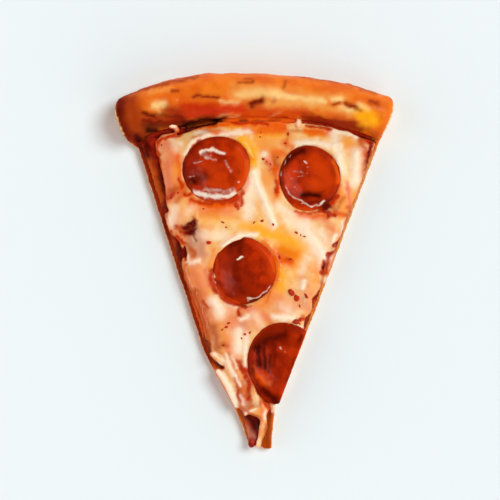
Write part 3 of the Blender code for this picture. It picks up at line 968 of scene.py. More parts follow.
SAUCE_WASHES = (
    Wash(
        Tint.TAN,
        (
            Stroke(((-51.0, 138.0), (-47.6, 128.0), (-45.4, 120.0)), 2.2, 0.75),
            Stroke(((-42.5, 112.0), (-38.0, 97.0)), 1.0, 0.5),
            Stroke(((-32.0, 82.0), (-27.0, 66.0), (-23.5, 52.0)), 4.2, 1.0),
            Stroke(((-22.0, 50.0), (-17.5, 43.0)), 2.6, 0.7),
            Stroke(((35.5, 97.0), (31.5, 86.0)), 2.0, 0.8),
            Stroke(((26.0, 72.0), (22.5, 60.0)), 1.6, 0.6),
            Stroke(((-9.0, 25.0), (-6.0, 19.0)), 1.4, 0.6),
        ),
    ),
    Wash(Tint.BLUSH, (Stroke(((-7.6, 18.0), (-5.0, 12.0)), 2.2, 0.95), Stroke(((-2.0, 11.5),), 1.4, 0.6))),
    Wash(
        Tint.RED,
        (
            Stroke(((-48.0, 147.0), (-46.5, 141.0)), 1.6, 0.8),
            Stroke(((5.0, 27.0), (5.2, 16.0)), 1.5, 0.9),
            Stroke(((-3.0, 8.2),), 1.5, 0.5),
            Stroke(((-6.4, 18.8), (-4.0, 16.2)), 0.8, 0.7),
            Stroke(((34.5, 93.5), (32.0, 86.0)), 1.0, 0.6),
            Stroke(((27.5, 72.8),), 1.4, 1.0),
            Stroke(((20.0, 156.5), (34.0, 154.0), (48.0, 150.4)), 2.0, 0.55),
        ),
    ),
    Wash(
        Tint.OIL,
        (
            Stroke(((-14.0, 156.6), (0.0, 157.2), (16.0, 156.8)), 2.2, 0.95),
            Stroke(((-50.4, 135.0), (-49.0, 130.0)), 1.2, 0.4),
            Stroke(((-31.0, 75.0), (-28.6, 67.0), (-25.6, 58.0)), 1.8, 0.8),
            Stroke(((-36.0, 90.0), (-33.0, 80.0)), 1.2, 0.35),
        ),
    ),
    # Dark burnt sauce, and painted shade in the crease at the rim's foot, beside the cheese's holes and in
    # the hollow at the tip
    Wash(
        Tint.CHAR_AND_SHADE,
        (
            Stroke(((-52.0, 146.0), (-51.0, 140.0)), 1.8, 0.8),
            Stroke(((-44.0, 139.0), (-44.0, 124.0)), 0.8, 0.6),
            Stroke(((-37.0, 98.0), (-35.5, 95.0)), 1.6, 0.6),
            Stroke(((-36.0, 93.0), (-34.0, 86.0)), 1.1, 0.5),
            Stroke(((-24.3, 57.0), (-22.5, 47.5)), 0.9, 0.7),
            Stroke(((-23.0, 47.0), (-20.0, 45.4), (-17.0, 43.2)), 0.9, 0.9),
            Stroke(((-5.0, 20.0), (-1.6, 17.0), (0.6, 14.4)), 1.8, 1.0),
            Stroke(((30.2, 90.5), (29.7, 86.5)), 1.0, 0.6),
            Stroke(((24.0, 65.5), (22.0, 61.5)), 1.0, 0.7),
            Stroke(((-8.2, 156.4), (-4.8, 156.4)), 0.9, 0.8),
            Stroke(((-33.0, 154.0), (-18.0, 156.8)), 2.0, 1.0),
            Stroke(((-2.0, 156.2), (5.0, 156.0), (10.0, 157.0)), 0.8, 0.5),
        ),
    ),
)

CHEESE_WASHES = (
    Wash(
        Tint.WARM,
        (
            Stroke(((-38.5, 139.0), (-39.0, 129.0), (-38.5, 121.0)), 2.2, 0.9),
            Stroke(((1.0, 148.0), (12.0, 147.0)), 3.4, 0.6),
            Stroke(((2.5, 133.0), (7.5, 120.0)), 2.6, 0.65),
            Stroke(((2.0, 143.5), (10.0, 142.0), (8.0, 131.0)), 2.8, 0.9),
            Stroke(((39.5, 147.0), (44.0, 143.5)), 2.4, 0.9),
            Stroke(((38.5, 124.0), (39.5, 116.0), (44.0, 116.0), (45.5, 125.0)), 2.4, 0.85),
            Stroke(((-27.0, 112.5), (-10.0, 112.0)), 1.8, 0.7),
            Stroke(((-25.5, 107.5), (-22.0, 107.0)), 1.6, 0.7),
            Stroke(((-20.5, 97.0), (-22.0, 88.0)), 1.6, 0.9),
            Stroke(((-33.5, 89.0), (-33.0, 83.0)), 1.2, 0.9),
            Stroke(((-30.5, 88.0), (-25.5, 77.0)), 3.6, 0.85),
            Stroke(((9.0, 92.0), (9.2, 82.0), (5.0, 73.5), (-2.0, 69.5)), 2.2, 0.95),
            Stroke(((2.0, 70.0), (10.0, 76.0)), 2.4, 0.6),
            Stroke(((3.0, 66.0), (5.0, 63.5)), 1.8, 0.8),
            Stroke(((26.5, 90.0), (26.0, 80.0), (23.0, 70.0)), 2.2, 0.5),
            Stroke(((36.5, 101.0), (40.0, 109.0)), 1.4, 0.7),
            Stroke(((33.0, 92.0), (31.0, 85.0)), 1.5, 0.8),
            Stroke(((24.0, 66.0), (22.0, 60.0)), 1.4, 0.8),
            Stroke(((-19.0, 63.0), (-15.0, 55.0)), 2.4, 0.8),
            Stroke(((1.0, 28.0), (2.0, 19.0)), 1.6, 0.7),
            Stroke(((-20.0, 40.0), (-14.0, 29.0)), 0.9, 0.8),
            Stroke(((16.0, 100.0), (24.0, 88.0)), 2.6, 0.35),
        ),
    ),
    Wash(
        Tint.BLUSH,
        (
            Stroke(((-34.0, 112.0), (-28.0, 96.0), (-26.0, 84.0)), 5.0, 0.25),
            Stroke(((-18.0, 64.0), (-6.0, 64.0), (4.0, 70.0), (20.0, 74.0)), 6.0, 0.3),
            Stroke(((-12.0, 56.0), (-9.0, 40.0), (-5.0, 28.0)), 4.0, 0.3),
            Stroke(((34.0, 106.0), (28.0, 88.0)), 3.0, 0.3),
            Stroke(((-46.5, 147.0), (-46.5, 140.0)), 1.4, 0.9),
            Stroke(((-43.0, 146.0), (-38.0, 138.0)), 3.8, 0.8),
            Stroke(((-42.0, 137.0), (-41.0, 122.0)), 2.2, 0.9),
            Stroke(((-41.0, 120.5), (-36.0, 125.0)), 2.6, 0.8),
            Stroke(((-38.0, 112.0), (-35.0, 102.0)), 3.0, 0.35),
            Stroke(((-30.0, 85.0), (-26.0, 76.0), (-22.0, 66.0)), 3.4, 0.6),
            Stroke(((-24.5, 88.0), (-22.5, 80.0)), 1.6, 0.8),
            Stroke(((-26.5, 103.0), (-25.0, 94.0)), 2.2, 0.6),
            Stroke(((-13.0, 70.0), (-12.0, 62.0)), 3.2, 0.6),
            Stroke(((-8.5, 64.5), (-5.0, 60.0)), 2.4, 0.65),
            Stroke(((-7.0, 69.8), (-2.0, 69.2)), 1.6, 0.9),
            Stroke(((9.0, 76.0), (12.0, 69.0), (20.0, 71.0)), 3.6, 0.35),
            Stroke(((20.0, 84.0), (24.0, 77.0)), 2.4, 0.45),
            Stroke(((31.5, 111.0), (35.4, 104.0)), 1.9, 0.6),
            Stroke(((22.0, 112.0), (30.0, 111.0)), 1.8, 0.6),
            Stroke(((41.2, 128.0), (42.6, 116.0)), 1.3, 0.95),
            Stroke(((48.5, 144.0), (47.5, 131.0)), 1.5, 0.8),
            Stroke(((47.0, 147.5), (50.5, 147.0)), 1.4, 0.9),
            Stroke(((2.0, 67.0), (6.0, 63.5)), 1.6, 0.7),
            Stroke(((-14.0, 53.0), (-9.0, 44.0)), 2.2, 0.65),
            Stroke(((-9.5, 38.0), (-7.5, 28.0)), 1.6, 0.85),
            Stroke(((-5.0, 28.0), (-5.5, 22.5)), 1.5, 0.9),
            Stroke(((1.5, 28.0), (1.8, 20.0), (0.5, 11.0)), 1.1, 0.6),
            Stroke(((27.0, 69.0), (23.0, 60.5)), 1.0, 0.6),
            Stroke(((-4.0, 67.0), (0.0, 61.0)), 2.4, 0.45),
            Stroke(((-30.0, 94.0), (-28.0, 90.0)), 1.8, 0.4),
        ),
    ),
    Wash(
        Tint.TAN,
        (
            Stroke(((-46.0, 147.0), (-45.0, 135.0), (-43.4, 122.0),
                    (-41.4, 112.0), (-38.4, 105.0), (-34.9, 100.0)), 1.2, 0.7),
            Stroke(((-34.0, 92.0), (-33.6, 88.0), (-31.4, 80.0), (-27.4, 74.0),
                    (-24.8, 68.0), (-23.6, 60.0), (-22.2, 52.0)), 1.3, 0.8),
            Stroke(((-20.8, 61.0), (-18.5, 52.0)), 2.4, 0.9),
            Stroke(((-16.4, 53.4), (-14.0, 52.6)), 1.1, 0.7),
            Stroke(((-28.6, 76.0), (-26.6, 69.0), (-24.0, 60.0)), 2.0, 0.95),
            Stroke(((-32.2, 99.0), (-29.5, 95.0)), 2.2, 0.9),
            Stroke(((-40.0, 124.0), (-33.5, 127.0)), 1.9, 0.85),
            Stroke(((-37.5, 119.0), (-34.0, 124.0)), 1.3, 0.7),
            Stroke(((6.0, 137.0), (9.6, 129.0)), 1.7, 0.85),
            Stroke(((3.0, 152.8), (12.0, 153.0)), 1.2, 0.8),
            Stroke(((35.0, 114.0), (43.0, 112.0)), 1.4, 0.95),
            Stroke(((37.0, 117.0), (39.5, 121.0)), 1.1, 0.6),
            Stroke(((29.8, 82.0), (28.0, 75.5), (26.0, 69.0)), 1.1, 0.9),
            Stroke(((24.5, 67.0), (22.5, 61.0)), 1.1, 0.95),
            Stroke(((-9.6, 34.0), (-9.0, 27.0)), 1.1, 0.95),
            Stroke(((-9.0, 25.0), (-6.5, 22.0)), 1.6, 0.9),
            Stroke(((-7.0, 36.0), (-4.0, 24.5)), 1.9, 0.7),
            Stroke(((40.5, 110.0), (37.0, 98.0), (34.0, 94.0)), 1.0, 0.8),
            Stroke(((50.0, 142.0), (48.5, 131.0)), 0.9, 0.8),
            Stroke(((13.6, 150.5), (12.6, 144.6)), 1.1, 0.6),
            Stroke(((-13.5, 49.5), (-10.0, 41.0)), 0.6, 0.6),
            Stroke(((-11.2, 40.5), (-9.8, 34.0)), 0.8, 0.9),
            Stroke(((-7.8, 46.0), (-6.6, 41.0)), 0.9, 0.7),
            Stroke(((-34.0, 105.0), (-30.0, 103.0)), 1.4, 0.6),
            Stroke(((-28.6, 107.2), (-27.2, 105.6)), 1.5, 0.7),
            Stroke(((32.8, 94.6), (31.8, 88.0), (31.0, 84.0)), 1.5, 0.7),
            Stroke(((44.2, 118.0), (42.2, 111.0)), 1.0, 0.7),
            Stroke(((-8.3, 67.0),), 1.8, 0.7),
            Stroke(((3.9, 16.5), (3.3, 12.0), (2.2, 8.0)), 0.8, 1.0),
            Stroke(((7.6, 140.0), (9.2, 134.0), (9.0, 128.0)), 1.3, 0.8),
            Stroke(((47.5, 147.5), (49.2, 143.0), (49.5, 137.0)), 1.4, 0.8),
            Stroke(((-29.4, 77.0), (-26.9, 70.0), (-24.7, 64.0), (-23.3, 56.0)), 1.7, 1.0),
            Stroke(((33.6, 117.5), (36.0, 115.0)), 1.5, 0.8),
            Stroke(((-8.0, 33.0), (-6.8, 29.5)), 1.1, 0.6),
            Stroke(((0.4, 29.0), (0.2, 26.4)), 1.3, 0.35),
            Stroke(((3.8, 138.0), (5.6, 134.4)), 1.4, 0.8),
            Stroke(((-7.0, 28.6), (-6.2, 26.0)), 1.0, 0.6),
            Stroke(((-4.2, 24.4), (-1.6, 25.4)), 1.1, 0.6),
            Stroke(((41.8, 116.4), (43.0, 113.8)), 1.2, 0.6),
            Stroke(((-42.0, 113.0), (-40.0, 106.0)), 1.0, 0.5),
            Stroke(((20.5, 152.0), (14.0, 152.0)), 1.0, 0.5),
            Stroke(((-1.0, 24.5), (2.0, 27.0)), 0.7, 0.5),
        ),
    ),
    Wash(
        Tint.GREY,
        (
            Stroke(((-31.5, 103.5), (-30.0, 100.0)), 2.0, 0.85),
            Stroke(((-27.5, 104.0), (-26.0, 95.0)), 2.4, 0.7),
            Stroke(((-8.0, 61.5), (-6.0, 62.5)), 1.6, 0.4),
            Stroke(((-5.3, 27.0), (-5.6, 23.0)), 1.0, 0.6),
            Stroke(((21.0, 74.0), (24.0, 69.0)), 1.6, 0.45),
        ),
    ),
    Wash(
        Tint.YELLOW,
        (
            Stroke(((-8.0, 148.0), (-2.5, 143.0), (-2.4, 137.5)), 2.8, 1.0),
            Stroke(((-14.0, 153.8), (-2.0, 152.8), (9.0, 151.5)), 1.5, 0.85),
            Stroke(((1.0, 150.0), (11.0, 150.0)), 2.0, 0.75),
            Stroke(((-6.5, 108.5), (-2.0, 107.0)), 2.8, 0.8),
            Stroke(((1.0, 105.0), (10.0, 103.0), (20.0, 99.0)), 3.6, 0.95),
            Stroke(((7.0, 107.0), (11.5, 108.0)), 1.8, 0.6),
            Stroke(((12.0, 97.5), (18.0, 94.0)), 4.0, 1.0),
            Stroke(((9.5, 92.0), (11.0, 84.0), (11.0, 79.0)), 2.6, 0.85),
            Stroke(((16.0, 88.5), (17.0, 85.0)), 1.8, 0.55),
            Stroke(((-37.5, 137.0), (-37.5, 132.0)), 1.0, 0.6),
            Stroke(((22.5, 150.5), (33.5, 150.5)), 1.8, 0.85),
            Stroke(((-24.0, 110.0), (-12.0, 110.5)), 2.0, 0.3),
            Stroke(((37.0, 146.0), (42.0, 147.0)), 1.4, 0.5),
        ),
    ),
    Wash(
        Tint.OIL,
        (
            Stroke(((-31.0, 119.0), (-20.0, 117.0), (-9.5, 117.8)), 2.3, 1.0),
            Stroke(((-27.0, 114.8), (-12.0, 114.5)), 1.7, 0.6),
            Stroke(((-27.0, 153.6), (-12.0, 154.8), (0.0, 154.6), (12.0, 154.0)), 1.3, 1.0),
            Stroke(((1.0, 152.6), (11.0, 152.8)), 1.3, 0.7),
            Stroke(((22.0, 151.5), (33.0, 151.3)), 1.4, 0.9),
            Stroke(((-3.4, 139.5),), 1.4, 0.6),
            Stroke(((-9.0, 121.0), (-6.2, 124.0), (-4.2, 129.0)), 1.3, 0.9),
            Stroke(((-36.8, 140.0), (-36.3, 131.0), (-35.0, 125.0)), 1.5, 0.8),
            Stroke(((5.0, 138.6), (8.0, 133.0)), 1.8, 0.8),
            Stroke(((-6.0, 152.4), (3.0, 151.0), (12.0, 151.8)), 1.7, 0.8),
            Stroke(((12.0, 146.6), (16.0, 143.9)), 1.5, 0.75),
            Stroke(((24.0, 150.6), (34.5, 150.0)), 1.2, 0.6),
            Stroke(((35.0, 113.8), (39.0, 113.0)), 1.5, 0.7),
            Stroke(((-24.0, 151.6), (-18.0, 151.8)), 1.1, 0.7),
            Stroke(((-32.0, 152.2), (-25.0, 154.0), (-17.0, 155.0)), 1.3, 1.0),
            Stroke(((2.6, 100.8), (6.4, 96.8)), 1.3, 0.8),
            Stroke(((-16.0, 155.2), (0.0, 156.2), (15.0, 155.6)), 1.3, 1.0),
            Stroke(((-30.0, 148.6), (-24.0, 150.6), (-18.0, 150.9), (-11.0, 149.6)), 0.8, 0.7),
            Stroke(((8.6, 133.0), (8.8, 122.0)), 1.2, 1.0),
            Stroke(((11.0, 97.0), (17.0, 95.0)), 2.8, 0.65),
            Stroke(((9.8, 93.2), (14.8, 91.2)), 2.7, 1.0),
            Stroke(((7.6, 97.0), (9.6, 90.0), (9.0, 83.0)), 1.2, 0.8),
            Stroke(((17.0, 114.0), (24.0, 112.4), (33.0, 112.3)), 1.3, 0.95),
            Stroke(((37.6, 126.0), (36.0, 119.5)), 1.2, 0.7),
            Stroke(((-34.0, 122.2), (-30.5, 122.2)), 1.2, 1.0),
            Stroke(((-47.0, 146.0), (-46.5, 141.0)), 0.9, 0.6),
            Stroke(((8.0, 141.5), (13.0, 141.0)), 1.8, 0.7),
            Stroke(((7.5, 81.0), (3.0, 74.0)), 1.2, 0.5),
            Stroke(((-37.0, 131.0), (-36.0, 124.0)), 1.1, 0.5),
            Stroke(((32.0, 92.0), (31.0, 86.0)), 1.0, 0.4),
        ),
    ),
    # Pale cream cheese, with painted highlights on ridges, on lips beside the pepperoni and on strands
    Wash(
        Tint.PALE_AND_HIGHLIGHT,
        (
            Stroke(((-33.6, 141.0), (-31.0, 146.6), (-24.0, 149.8), (-8.0, 150.4)), 0.9, 0.8),
            Stroke(((-12.0, 151.2), (-4.0, 151.4)), 1.2, 0.8),
            Stroke(((-36.0, 146.0),), 1.0, 0.9),
            Stroke(((-38.0, 143.5), (-39.5, 148.0)), 1.8, 0.4),
            Stroke(((3.2, 141.0),), 1.7, 0.85),
            Stroke(((-36.8, 151.4),), 0.9, 0.4),
            Stroke(((-1.8, 132.6), (-1.0, 127.0), (3.0, 119.5), (7.2, 108.5)), 1.9, 1.0),
            Stroke(((-3.0, 126.0), (-4.2, 120.0), (-4.5, 113.0)), 2.9, 0.8),
            Stroke(((-38.5, 116.0), (-40.0, 109.0)), 2.2, 0.7),
            Stroke(((-33.0, 113.0), (-31.0, 116.0)), 1.8, 0.4),
            Stroke(((18.0, 146.3), (26.0, 146.4), (33.0, 145.0)), 1.5, 0.95),
            Stroke(((34.0, 152.3), (38.0, 151.5), (42.5, 150.2), (45.5, 148.4)), 0.9, 1.0),
            Stroke(((35.0, 149.6), (37.5, 140.0), (38.0, 133.0)), 2.4, 0.9),
            Stroke(((45.0, 141.5), (45.0, 128.0)), 2.6, 0.9),
            Stroke(((16.0, 113.0), (9.0, 117.0)), 2.0, 0.7),
            Stroke(((12.0, 111.0), (22.0, 108.0)), 2.2, 0.6),
            Stroke(((28.6, 106.0), (31.0, 102.0)), 1.8, 0.6),
            Stroke(((-28.4, 150.8), (-24.0, 151.4)), 1.0, 0.8),
            Stroke(((11.0, 70.6), (14.0, 69.6)), 2.2, 0.4),
            Stroke(((21.0, 107.5), (26.5, 99.0), (30.5, 93.5)), 4.0, 0.9),
            Stroke(((22.0, 93.0), (20.0, 87.0)), 2.2, 0.5),
            Stroke(((35.8, 103.4), (34.4, 100.6)), 1.1, 1.0),
            Stroke(((39.0, 109.5), (38.3, 103.5)), 1.1, 0.7),
            Stroke(((21.4, 82.2), (20.3, 79.6)), 1.2, 1.0),
            Stroke(((31.3, 83.5), (30.8, 78.0)), 0.9, 0.7),
            Stroke(((27.6, 70.3), (28.2, 67.5)), 0.9, 1.0),
            Stroke(((-16.4, 99.0), (-13.0, 102.0), (-8.0, 103.8), (-1.0, 103.8)), 1.1, 1.0),
            Stroke(((-24.5, 103.5), (-16.0, 103.5)), 2.6, 0.6),
            Stroke(((-32.6, 94.3), (-32.6, 91.5)), 0.8, 1.0),
            Stroke(((-31.5, 90.4), (-27.5, 91.9)), 1.1, 0.9),
            Stroke(((-20.4, 73.0), (-17.0, 68.0)), 2.6, 1.0),
            Stroke(((-15.0, 72.0), (-10.0, 70.6)), 1.0, 0.5),
            Stroke(((-7.8, 65.0), (-4.5, 66.0)), 1.1, 0.9),
            Stroke(((-9.0, 59.0), (-8.8, 51.0)), 2.6, 0.9),
            Stroke(((-5.0, 57.5), (-6.3, 50.0)), 1.4, 0.7),
            Stroke(((-2.0, 67.5), (1.0, 63.0)), 2.2, 0.4),
            Stroke(((7.2, 66.2), (15.8, 65.4)), 1.4, 1.0),
            Stroke(((14.0, 68.5), (19.0, 67.5)), 1.4, 0.4),
            Stroke(((17.0, 62.4), (20.5, 61.2)), 0.9, 1.0),
            Stroke(((22.3, 59.3),), 0.9, 1.0),
            Stroke(((-20.4, 48.9), (-19.6, 48.2)), 1.1, 1.0),
            Stroke(((-18.5, 47.6), (-14.0, 44.5), (-11.0, 39.0)), 0.9, 0.8),
            Stroke(((-15.0, 48.5), (-9.0, 36.0), (-8.3, 34.0)), 0.7, 0.9),
            Stroke(((-12.0, 48.0), (-9.5, 42.0)), 0.6, 0.7),
            Stroke(((-5.6, 55.0), (-6.4, 48.0), (-6.1, 42.5)), 0.5, 0.9),
            Stroke(((-18.4, 41.6), (-14.4, 35.5), (-11.4, 28.5), (-10.2, 25.0)), 1.7, 1.0),
            Stroke(((-17.6, 44.4), (-15.6, 42.6)), 0.9, 0.9),
            Stroke(((-1.0, 29.5), (-0.8, 25.5)), 1.0, 0.2),
            Stroke(((-5.7, 21.4),), 1.0, 1.0),
            Stroke(((-4.2, 22.1), (-1.0, 23.6)), 0.5, 1.0),
            Stroke(((3.6, 22.5), (3.2, 19.5)), 0.8, 0.9),
            Stroke(((7.3, 25.0), (6.9, 18.5)), 0.9, 1.0),
            Stroke(((0.6, 9.5), (-0.4, 6.0)), 0.8, 0.7),
            Stroke(((-7.6, 29.5), (-7.0, 25.5)), 0.6, 0.7),
            Stroke(((-39.4, 153.8), (-38.0, 153.6)), 1.4, 1.0),
            Stroke(((18.8, 155.6), (18.5, 157.5)), 1.2, 0.8),
            Stroke(((16.0, 141.0), (20.0, 146.5)), 0.5, 0.3),
        ),
    ),
    Wash(
        Tint.RED,
        (
            Stroke(((-38.0, 149.8), (-30.0, 153.8), (-20.0, 155.6)), 1.2, 1.0),
            # Dark red beside pepperoni_2's lower right, partly painted shade
            Stroke(((29.0, 115.4), (33.0, 117.3), (36.6, 121.6)), 1.7, 1.0),
            Stroke(((49.6, 149.0), (52.0, 145.5), (51.0, 140.0)), 1.8, 0.95),
            Stroke(((-12.0, 155.4), (-4.0, 155.5), (5.0, 155.0)), 1.0, 0.9),
            Stroke(((-46.0, 141.0), (-45.2, 132.0), (-43.9, 122.0)), 1.3, 1.0),
            Stroke(((-34.6, 104.6), (-32.0, 104.0)), 1.4, 0.9),
            Stroke(((-15.0, 119.4), (-9.8, 121.2)), 1.1, 1.0),
            Stroke(((22.0, 153.8), (29.0, 153.2), (33.4, 152.4)), 1.0, 0.9),
            Stroke(((33.4, 95.2), (32.0, 91.0), (31.2, 86.0)), 1.2, 0.75),
            Stroke(((-46.4, 146.4), (-44.6, 148.4), (-39.8, 149.2), (-37.0, 149.8)), 1.3, 0.95),
            Stroke(((4.3, 26.6), (5.4, 23.6)), 1.1, 0.9),
            Stroke(((-31.9, 142.8), (-29.7, 146.0), (-26.5, 148.2)), 0.8, 0.8),
            Stroke(((-7.6, 124.8), (-6.6, 122.6)), 0.9, 0.7),
            Stroke(((-40.4, 105.4), (-39.2, 103.0)), 1.0, 0.85),
            Stroke(((-36.4, 129.6), (-35.2, 125.6)), 1.0, 0.85),
            Stroke(((18.8, 64.4), (21.2, 65.4)), 1.3, 0.85),
            Stroke(((1.8, 30.0), (3.6, 27.0), (4.8, 23.8)), 1.4, 1.0),
            Stroke(((-46.4, 147.0), (-45.4, 135.0), (-43.8, 122.0), (-41.8, 112.0)), 0.7, 0.5),
            Stroke(((-10.5, 117.8), (-9.4, 115.4)), 1.0, 0.9),
            Stroke(((-31.0, 120.0), (-25.0, 118.2), (-16.0, 118.0), (-9.0, 120.4)), 1.1, 0.8),
            Stroke(((-7.4, 122.4), (-7.8, 117.6)), 1.0, 0.9),
            Stroke(((-34.0, 122.5), (-31.5, 122.2)), 1.0, 0.9),
            Stroke(((-42.0, 121.0), (-39.0, 122.6)), 1.2, 0.8),
            Stroke(((-37.4, 107.4), (-33.5, 106.0)), 1.7, 0.8),
            Stroke(((-29.8, 111.6), (-28.2, 110.4)), 0.9, 0.6),
            Stroke(((-37.0, 102.4), (-34.2, 100.0)), 1.4, 1.0),
            Stroke(((-34.5, 97.0), (-33.4, 92.5)), 1.1, 1.0),
            Stroke(((-30.5, 97.5), (-29.5, 95.5)), 1.4, 0.5),
            Stroke(((-21.6, 88.0), (-22.4, 83.0), (-19.3, 77.0), (-13.0, 72.4), (-6.0, 70.8)), 1.2, 0.95),
            Stroke(((-25.4, 73.4), (-23.5, 70.0)), 1.0, 0.8),
            Stroke(((-9.0, 68.8), (-8.4, 66.9)), 1.3, 0.9),
            Stroke(((9.7, 95.0), (10.2, 91.5)), 1.1, 0.5),
            Stroke(((13.4, 92.8), (15.4, 92.2)), 1.2, 0.5),
            Stroke(((-9.3, 46.0), (-7.2, 42.0), (-6.3, 38.0)), 1.1, 0.8),
            Stroke(((-5.6, 42.0), (-4.2, 35.0), (-4.6, 28.0)), 1.5, 0.85),
            Stroke(((-2.8, 36.0), (0.0, 31.0)), 1.1, 0.85),
            Stroke(((2.2, 29.0), (3.8, 25.0)), 1.0, 0.85),
            Stroke(((-9.6, 32.0), (-8.6, 27.4)), 0.8, 0.7),
            Stroke(((17.0, 114.6), (24.0, 113.6), (31.0, 114.3)), 0.7, 0.7),
            Stroke(((31.0, 114.8), (33.0, 112.6), (35.5, 112.4)), 1.3, 0.9),
            Stroke(((38.0, 99.5), (34.5, 96.0), (31.6, 94.0)), 0.9, 0.75),
            Stroke(((30.2, 91.5), (29.4, 85.8)), 1.1, 0.9),
            Stroke(((27.5, 73.8), (27.4, 72.0)), 1.5, 1.0),
            Stroke(((50.0, 148.8), (52.5, 145.5)), 1.4, 0.85),
            Stroke(((25.2, 68.5), (26.2, 71.0)), 0.8, 0.7),
            Stroke(((-24.0, 55.0), (-22.6, 48.0)), 0.9, 0.7),
            Stroke(((8.0, 129.0), (8.6, 123.0)), 0.8, 0.8),
            Stroke(((3.0, 72.4), (6.6, 77.4)), 0.5, 0.5),
        ),
    ),
    # A dark baked clump, and painted shade in holes, along pepperoni edges and beside pepperoni_2's lower
    # right
    Wash(
        Tint.CHAR_AND_SHADE,
        (
            Stroke(((-33.2, 106.4), (-30.2, 108.4)), 2.7, 1.0),
            Stroke(((-30.8, 109.0), (-29.4, 110.4)), 1.1, 0.9),
            Stroke(((-31.6, 104.6), (-29.6, 105.6)), 1.8, 0.95),
            Stroke(((-37.0, 99.2), (-35.0, 95.8)), 1.5, 1.0),
            Stroke(((-29.6, 103.8), (-28.8, 101.2)), 0.8, 0.6),
            Stroke(((-40.2, 121.4),), 0.8, 0.7),
            Stroke(((52.2, 146.0), (50.0, 134.0)), 1.1, 0.8),
            Stroke(((33.4, 114.0), (32.0, 111.6)), 0.9, 0.7),
            Stroke(((30.5, 115.6), (33.0, 116.8)), 1.3, 0.9),
            Stroke(((30.4, 90.0), (29.9, 88.6)), 0.9, 0.8),
            Stroke(((-10.4, 117.0),), 0.8, 0.6),
            Stroke(((-9.6, 71.4), (-3.0, 71.0)), 0.8, 0.6),
            Stroke(((-3.4, 31.0), (-2.6, 25.5)), 0.8, 0.5),
        ),
    ),
)


